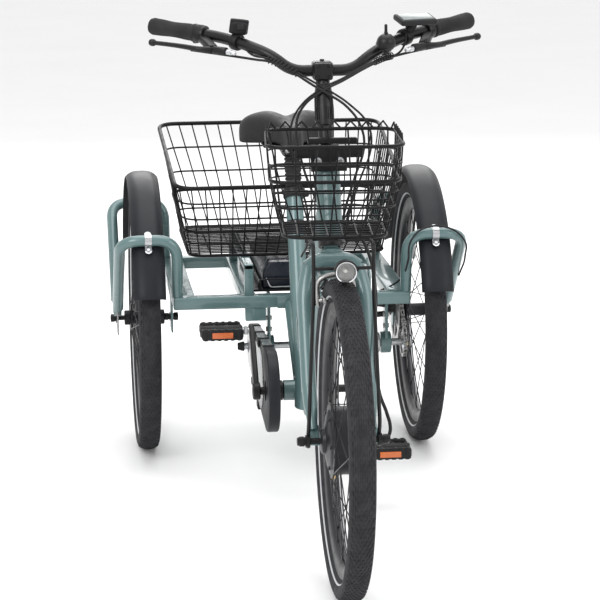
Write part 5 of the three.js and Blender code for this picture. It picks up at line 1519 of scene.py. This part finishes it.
def buildSeatPost():
    post = tube([onSeat(0.464), onSeat(0.676)], 0.0136, 0, 8)
    bore = tube([onSeat(0.560), onSeat(0.70)], 0.0102, 0, 7)
    finishPiece(cutWith(post, bore), "seat_post_tube", "seat_post", finish["blackPaint"],
                ["seat_post"])
    b = bellows
    profile = [(0.0140, 0)]
    for i in range(b["folds"]):
        u = i / b["folds"] * b["tall"]
        profile += [(b["valley"], u), (b["ridge"], u + 0.0022), (b["ridge"], u + 0.0052),
                    (b["valley"], u + 0.0074)]
    profile += [(0.0170, b["tall"]), (0.0120, b["tall"] + 0.001)]
    boot = turned(profile, onSeat(b["start"]), seatUp, 40)
    thicken(boot, b["wall"])
    finishPiece(boot, "seat_bellows", "seat_post", finish["rubber"], ["seat_boot"], 50)
    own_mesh(boot)


def buildSeatCollar():
    collar = turned([(0.0194, -0.020), (0.0235, -0.020), (0.0242, -0.018), (0.0242, -0.003), (0.0235, 0.0),
                     (0.0194, 0.0)], onSeat(0.6435), seatUp, 40, closed=True)
    lug = box((0.012, 0.020, 0.014), onSeat(0.634) + Vector((0.026, 0, 0)), 0.003, 2)
    lever = tube([onSeat(0.634) + Vector((0.030, -0.004, 0)), onSeat(0.634) + Vector((0.037, 0.010, 0)),
                  onSeat(0.630) + Vector((0.036, 0.040, -0.002))], 0.0036, 0.01, 5, 5)
    finishPiece(glue([collar, lug, lever]), "seat_collar", "frame", finish["blackPaint"],
                ["seat_clamp"])
    band = turned([(0.0188, 0.0), (0.0198, 0.0005), (0.0198, 0.0315), (0.0188, 0.0320)], onSeat(0.548),
                  seatUp, 48,
                  closed=True)
    finishPiece(band, "seat_tube_band", "frame", finish["gloss"])


# controls on the bar

def barClamp(side, index, share, outer, half, trim):
    start, end = barPoint(side, index), barPoint(side, index + 1)
    return ring(bar["clampBore"], outer, half, between(start, end, share), end - start, 32, trim)


def buildDisplay():
    face = at(0.193, 0.388, 1.0555)
    tilt = Matrix.Rotation(0.30, 4, "Z") @ Matrix.Rotation(0.24, 4, "X")
    body = moved(box((0.078, 0.046, 0.012), (0, 0, 0), 0.004, 3), Matrix.Translation(face) @ tilt)
    foot = tube([at(0.173, 0.396, 1.018), face + Vector((0, 0.004, -0.004))], 0.0085, 0, 5)
    clamp = barClamp(1, 3, 0.5, 0.0170, 0.008, (0.001, 0.002))
    finishPiece(glue([body, foot, clamp]), "display_case", "steering", finish["plastic"],
                ["display"])
    glass = box((0.066, 0.034, 0.0016), (0, 0, 0.0062), 0.0006, 2)
    finishPiece(moved(glass, Matrix.Translation(face) @ tilt), "display_glass", "steering", finish["screen"])


def buildBell():
    dome = turned([(0, 0.020), (0.006, 0.0195), (0.0125, 0.0165), (0.0170, 0.0105), (0.0190, 0.0030),
                   (0.0190, -0.0010), (0.0172, -0.0012), (0.0165, -0.0060), (0.0120, -0.0100), (0, -0.0105)],
                  at(0.125, 0.318, 1.016), (0, -0.5, 0.86), 40)
    clamp = barClamp(1, 2, 0.5, 0.0162, 0.007, (0.0007, 0.001))
    onBar = between(barPoint(1, 2), barPoint(1, 3), 0.5)
    stub = tube([onBar + Vector((0, -0.010, 0.004)), at(0.125, 0.320, 1.012)], 0.0070, 0, 5)
    finishPiece(glue([dome, clamp, stub]), "bell_dome", "steering", finish["blackPaint"],
                ["bell"])
    low, high = (Vector(c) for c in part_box("bell_lever"))
    mid = (low + high) / 2
    thumb = box((0.006, 0.005, high.z - low.z - 0.001), mid, 0.002, 2)
    hub = turned([(0, -0.006), (0.0034, -0.006), (0.0034, 0.006), (0, 0.006)],
                 Vector((mid.x, mid.y, low.z + 0.003)), (0, 1, 0), 20)
    finishPiece(glue([thumb, hub]), "bell_thumb_lever", "bell_lever", finish["plastic"],
                ["bell_lever"])


def buildSwitch():
    lean = (0.30, 0.12, 0)
    case = glue([box((0.034, 0.026, 0.027), at(-0.157, 0.382, 1.048), 0.006, 3, lean),
                 box((0.037, 0.008, 0.030), at(-0.157, 0.378, 1.049), 0.003, 3, lean)])
    foot = tube([at(-0.160, 0.388, 1.020), at(-0.158, 0.382, 1.044)], 0.0090, 0, 5)
    clamp = barClamp(-1, 3, 0.25, 0.0170, 0.008, (0.001, 0.002))
    finishPiece(glue([case, foot, clamp]), "switch_case", "steering", finish["plastic"],
                ["switch_box"])
    low, high = (Vector(c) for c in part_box("switch_button"))
    finishPiece(box(tuple(high - low), (low + high) / 2, 0.0015, 3), "switch_cap", "switch_button",
                finish["rubber"], ["switch_button"])


def buildThrottle():
    end = barPoint(-1, 5)
    inward = (barPoint(-1, 4) - end).normalized()
    along = (middle("throttle") - end).dot(inward)
    hub = ring(0.0120, 0.0180, 0.010, end + inward * along, inward, 32, (0.0015, 0.002))
    paddle = squareTube(end + inward * along + Vector((0, 0.004, -0.010)),
                        end + inward * (along - 0.008) + Vector((0, 0.026, -0.020)), 0.012, 0.008,
                        bevel=0.003)
    finishPiece(glue([hub, paddle]), "throttle_lever", "throttle", finish["plastic"],
                ["throttle"])


# leads: held at both ends, so they are drawn whole

leads = {
    "left_brake_lead": [(0.252, 0.383, 1.004), (0.196, 0.372, 0.996), (0.151, 0.345, 0.990),
                        (0.122, 0.322, 0.986),
                        (0.083, 0.300, 0.972), (0.035, 0.290, 0.948), (-0.008, 0.284, 0.928),
                        (-0.042, 0.288, 0.899),
                        (-0.054, 0.296, 0.865), (-0.048, 0.272, 0.800), (-0.022, 0.252, 0.724),
                        (0.012, 0.262, 0.665),
                        (0.034, 0.320, 0.628), (0.036, 0.395, 0.585)],
    "left_signal_lead": [(0.176, 0.392, 1.046), (0.170, 0.374, 1.010), (0.152, 0.352, 0.992),
                         (0.124, 0.326, 0.990),
                         (0.085, 0.304, 0.976), (0.037, 0.293, 0.953), (-0.006, 0.286, 0.934),
                         (-0.048, 0.292, 0.898),
                         (-0.064, 0.300, 0.860), (-0.060, 0.282, 0.790), (-0.038, 0.262, 0.700),
                         (-0.034, 0.290, 0.640),
                         (-0.036, 0.395, 0.585)],
    "right_brake_lead": [(-0.252, 0.383, 1.004), (-0.196, 0.372, 0.996), (-0.129, 0.335, 0.988),
                         (-0.100, 0.310, 0.985),
                         (-0.062, 0.298, 0.967), (-0.023, 0.288, 0.942), (0.006, 0.280, 0.925),
                         (0.045, 0.286, 0.897),
                         (0.072, 0.296, 0.858), (0.079, 0.300, 0.820), (0.060, 0.306, 0.753),
                         (0.040, 0.300, 0.690),
                         (0.036, 0.330, 0.640), (0.030, 0.400, 0.590)],
    "right_signal_lead": [(-0.158, 0.384, 1.040), (-0.140, 0.352, 1.000), (-0.102, 0.316, 0.990),
                          (-0.064, 0.302, 0.972),
                          (-0.022, 0.292, 0.948), (0.010, 0.284, 0.930), (0.052, 0.290, 0.900),
                          (0.086, 0.300, 0.862),
                          (0.094, 0.306, 0.820), (0.072, 0.312, 0.750), (0.050, 0.306, 0.690),
                          (0.041, 0.336, 0.640),
                          (0.034, 0.402, 0.588)],
}


def wrap(points, radius, turns, name):
    # spiral band wound round a bundle
    coil = []
    total = turns * 14
    for k in range(total + 1):
        u = k / total * (len(points) - 1)
        i = min(int(u), len(points) - 2)
        a, b = Vector(points[i]), Vector(points[i + 1])
        here = a.lerp(b, u - i)
        along = (b - a).normalized()
        side = along.cross(Vector((0, 0, 1))).normalized()
        up = side.cross(along)
        t = 2 * math.pi * k / 14
        coil.append(here + side * radius * math.cos(t) + up * radius * math.sin(t))
    obj = tube(coil, 0.0012, 0, 2)
    finishPiece(obj, name, "steering", finish["rubber"], (), 60)


def buildBarLeads():
    for name, points in leads.items():
        lead = cord([at(*p) for p in points], 0.0025 if "brake" in name else 0.0021, 3, 8)
        stands = ["brake_cable_" + name.split("_")[0]] if "brake" in name else []
        finishPiece(lead, name, None, finish["rubber"], stands, 60)
        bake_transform(lead)
    wrap([at(-0.108, 0.316, 0.990), at(-0.080, 0.306, 0.979), at(-0.050, 0.297, 0.962)], 0.0062, 9,
         "wrap_right")
    wrap([at(0.140, 0.338, 0.990), at(0.122, 0.324, 0.988), at(0.100, 0.311, 0.981)], 0.0062, 8, "wrap_left")


routes = {
    "motor": [(0.0840, 0.000, 0.305), (0.0900, 0.010, 0.322), (0.0840, 0.012, 0.350), (0.0720, 0.020, 0.385),
              (0.0680, 0.050, 0.430), (0.0740, 0.100, 0.500), (0.0800, 0.150, 0.570), (0.0720, 0.200, 0.630),
              (0.0560, 0.250, 0.656), (0.0400, 0.330, 0.630), (0.0360, 0.400, 0.580)],
    "frame": [(0.030, 0.400, 0.582), (0.031, 0.460, 0.545), (0.030, 0.560, 0.492), (0.028, 0.630, 0.425),
              (0.026, 0.660, 0.330), (0.024, 0.690, 0.255)],
    "hoop": [(0.236, 1.130, 0.352), (0.200, 1.060, 0.372), (0.245, 0.975, 0.420), (0.2545, 0.918, 0.470),
             (0.262, 0.915, 0.520), (0.290, 0.918, 0.5445), (0.345, 0.918, 0.5445), (0.378, 0.922, 0.520),
             (0.392, 0.975, 0.470), (0.392, 1.060, 0.410)],
}


def routed(name, radius, sides=3):
    return cord([at(*p) for p in routes[name]], radius, sides, 8)


def buildFrameLeads():
    motor = routed("motor", 0.0033, 4)
    finishPiece(motor, "motor_lead", None, finish["rubber"], ["motor_cable"], 60)
    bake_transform(motor)
    ties = [ring(0.0236, 0.0262, 0.002, at(0, y, z), Vector((0, 0.85, -0.53)))
            for y, z in ((0.410, 0.5745), (0.520, 0.515))]
    finishPiece(glue([routed("frame", 0.0032)] + ties), "frame_lead", "frame", finish["rubber"],
                (), 60)
    finishPiece(routed("hoop", 0.0021), "hoop_lead", "frame", finish["rubber"], (), 60)


# front brake, headset and reflector

def buildFrontBrake():
    parts = [tube([at(-0.034, 0.124, 0.540), at(-0.036, 0.122, 0.590), at(0, 0.120, 0.602),
                   at(0.036, 0.122, 0.590),
                   at(0.034, 0.124, 0.540)], 0.0052, 0.026, 6, 8)]
    parts += [box((0.010, 0.034, 0.011), at(side * 0.0215, 0.118, 0.552), 0.003, 2) for side in (-1, 1)]
    for side in (-1, 1):
        parts.append(tube([at(side * 0.034, 0.124, 0.548), at(side * 0.0215, 0.120, 0.552)], 0.0040, 0, 5))
    finishPiece(glue(parts), "brake_arch", "steering", finish["zinc"], ["front_brake"])


def buildHeadsetCups():
    for node in ("headset_upper", "headset_lower"):
        cup = turned([(0.0180, -0.0065), (0.0236, -0.0065), (0.0244, -0.004), (0.0236, -0.001),
                      (0.0244, 0.003),
                      (0.0228, 0.0065), (0.0180, 0.0065)], onSteer(middle(node).z), steerUp, 40, closed=True)
        finishPiece(cup, node + "_cup", "frame", finish["blackPaint"], [node])


def buildSpokeReflector():
    place = rearAxle["left"] + Vector((-0.010, 0.010, 0.150))
    finishPiece(box((0.010, 0.030, 0.060), place, 0.003, 2), "spoke_reflector_frame", "rear_wheel_left",
                finish["band"])
    finishPiece(box((0.012, 0.020, 0.050), place, 0.002, 2), "spoke_reflector", "rear_wheel_left",
                finish["reflector"])


buildBattery()
buildSaddleCover()
buildSaddleFrame()
buildSeatPost()
buildSeatCollar()
buildDisplay()
buildBell()
buildSwitch()
buildThrottle()
buildBarLeads()
buildFrameLeads()
buildFrontBrake()
buildHeadsetCups()
buildSpokeReflector()
print("seat, controls and leads built")
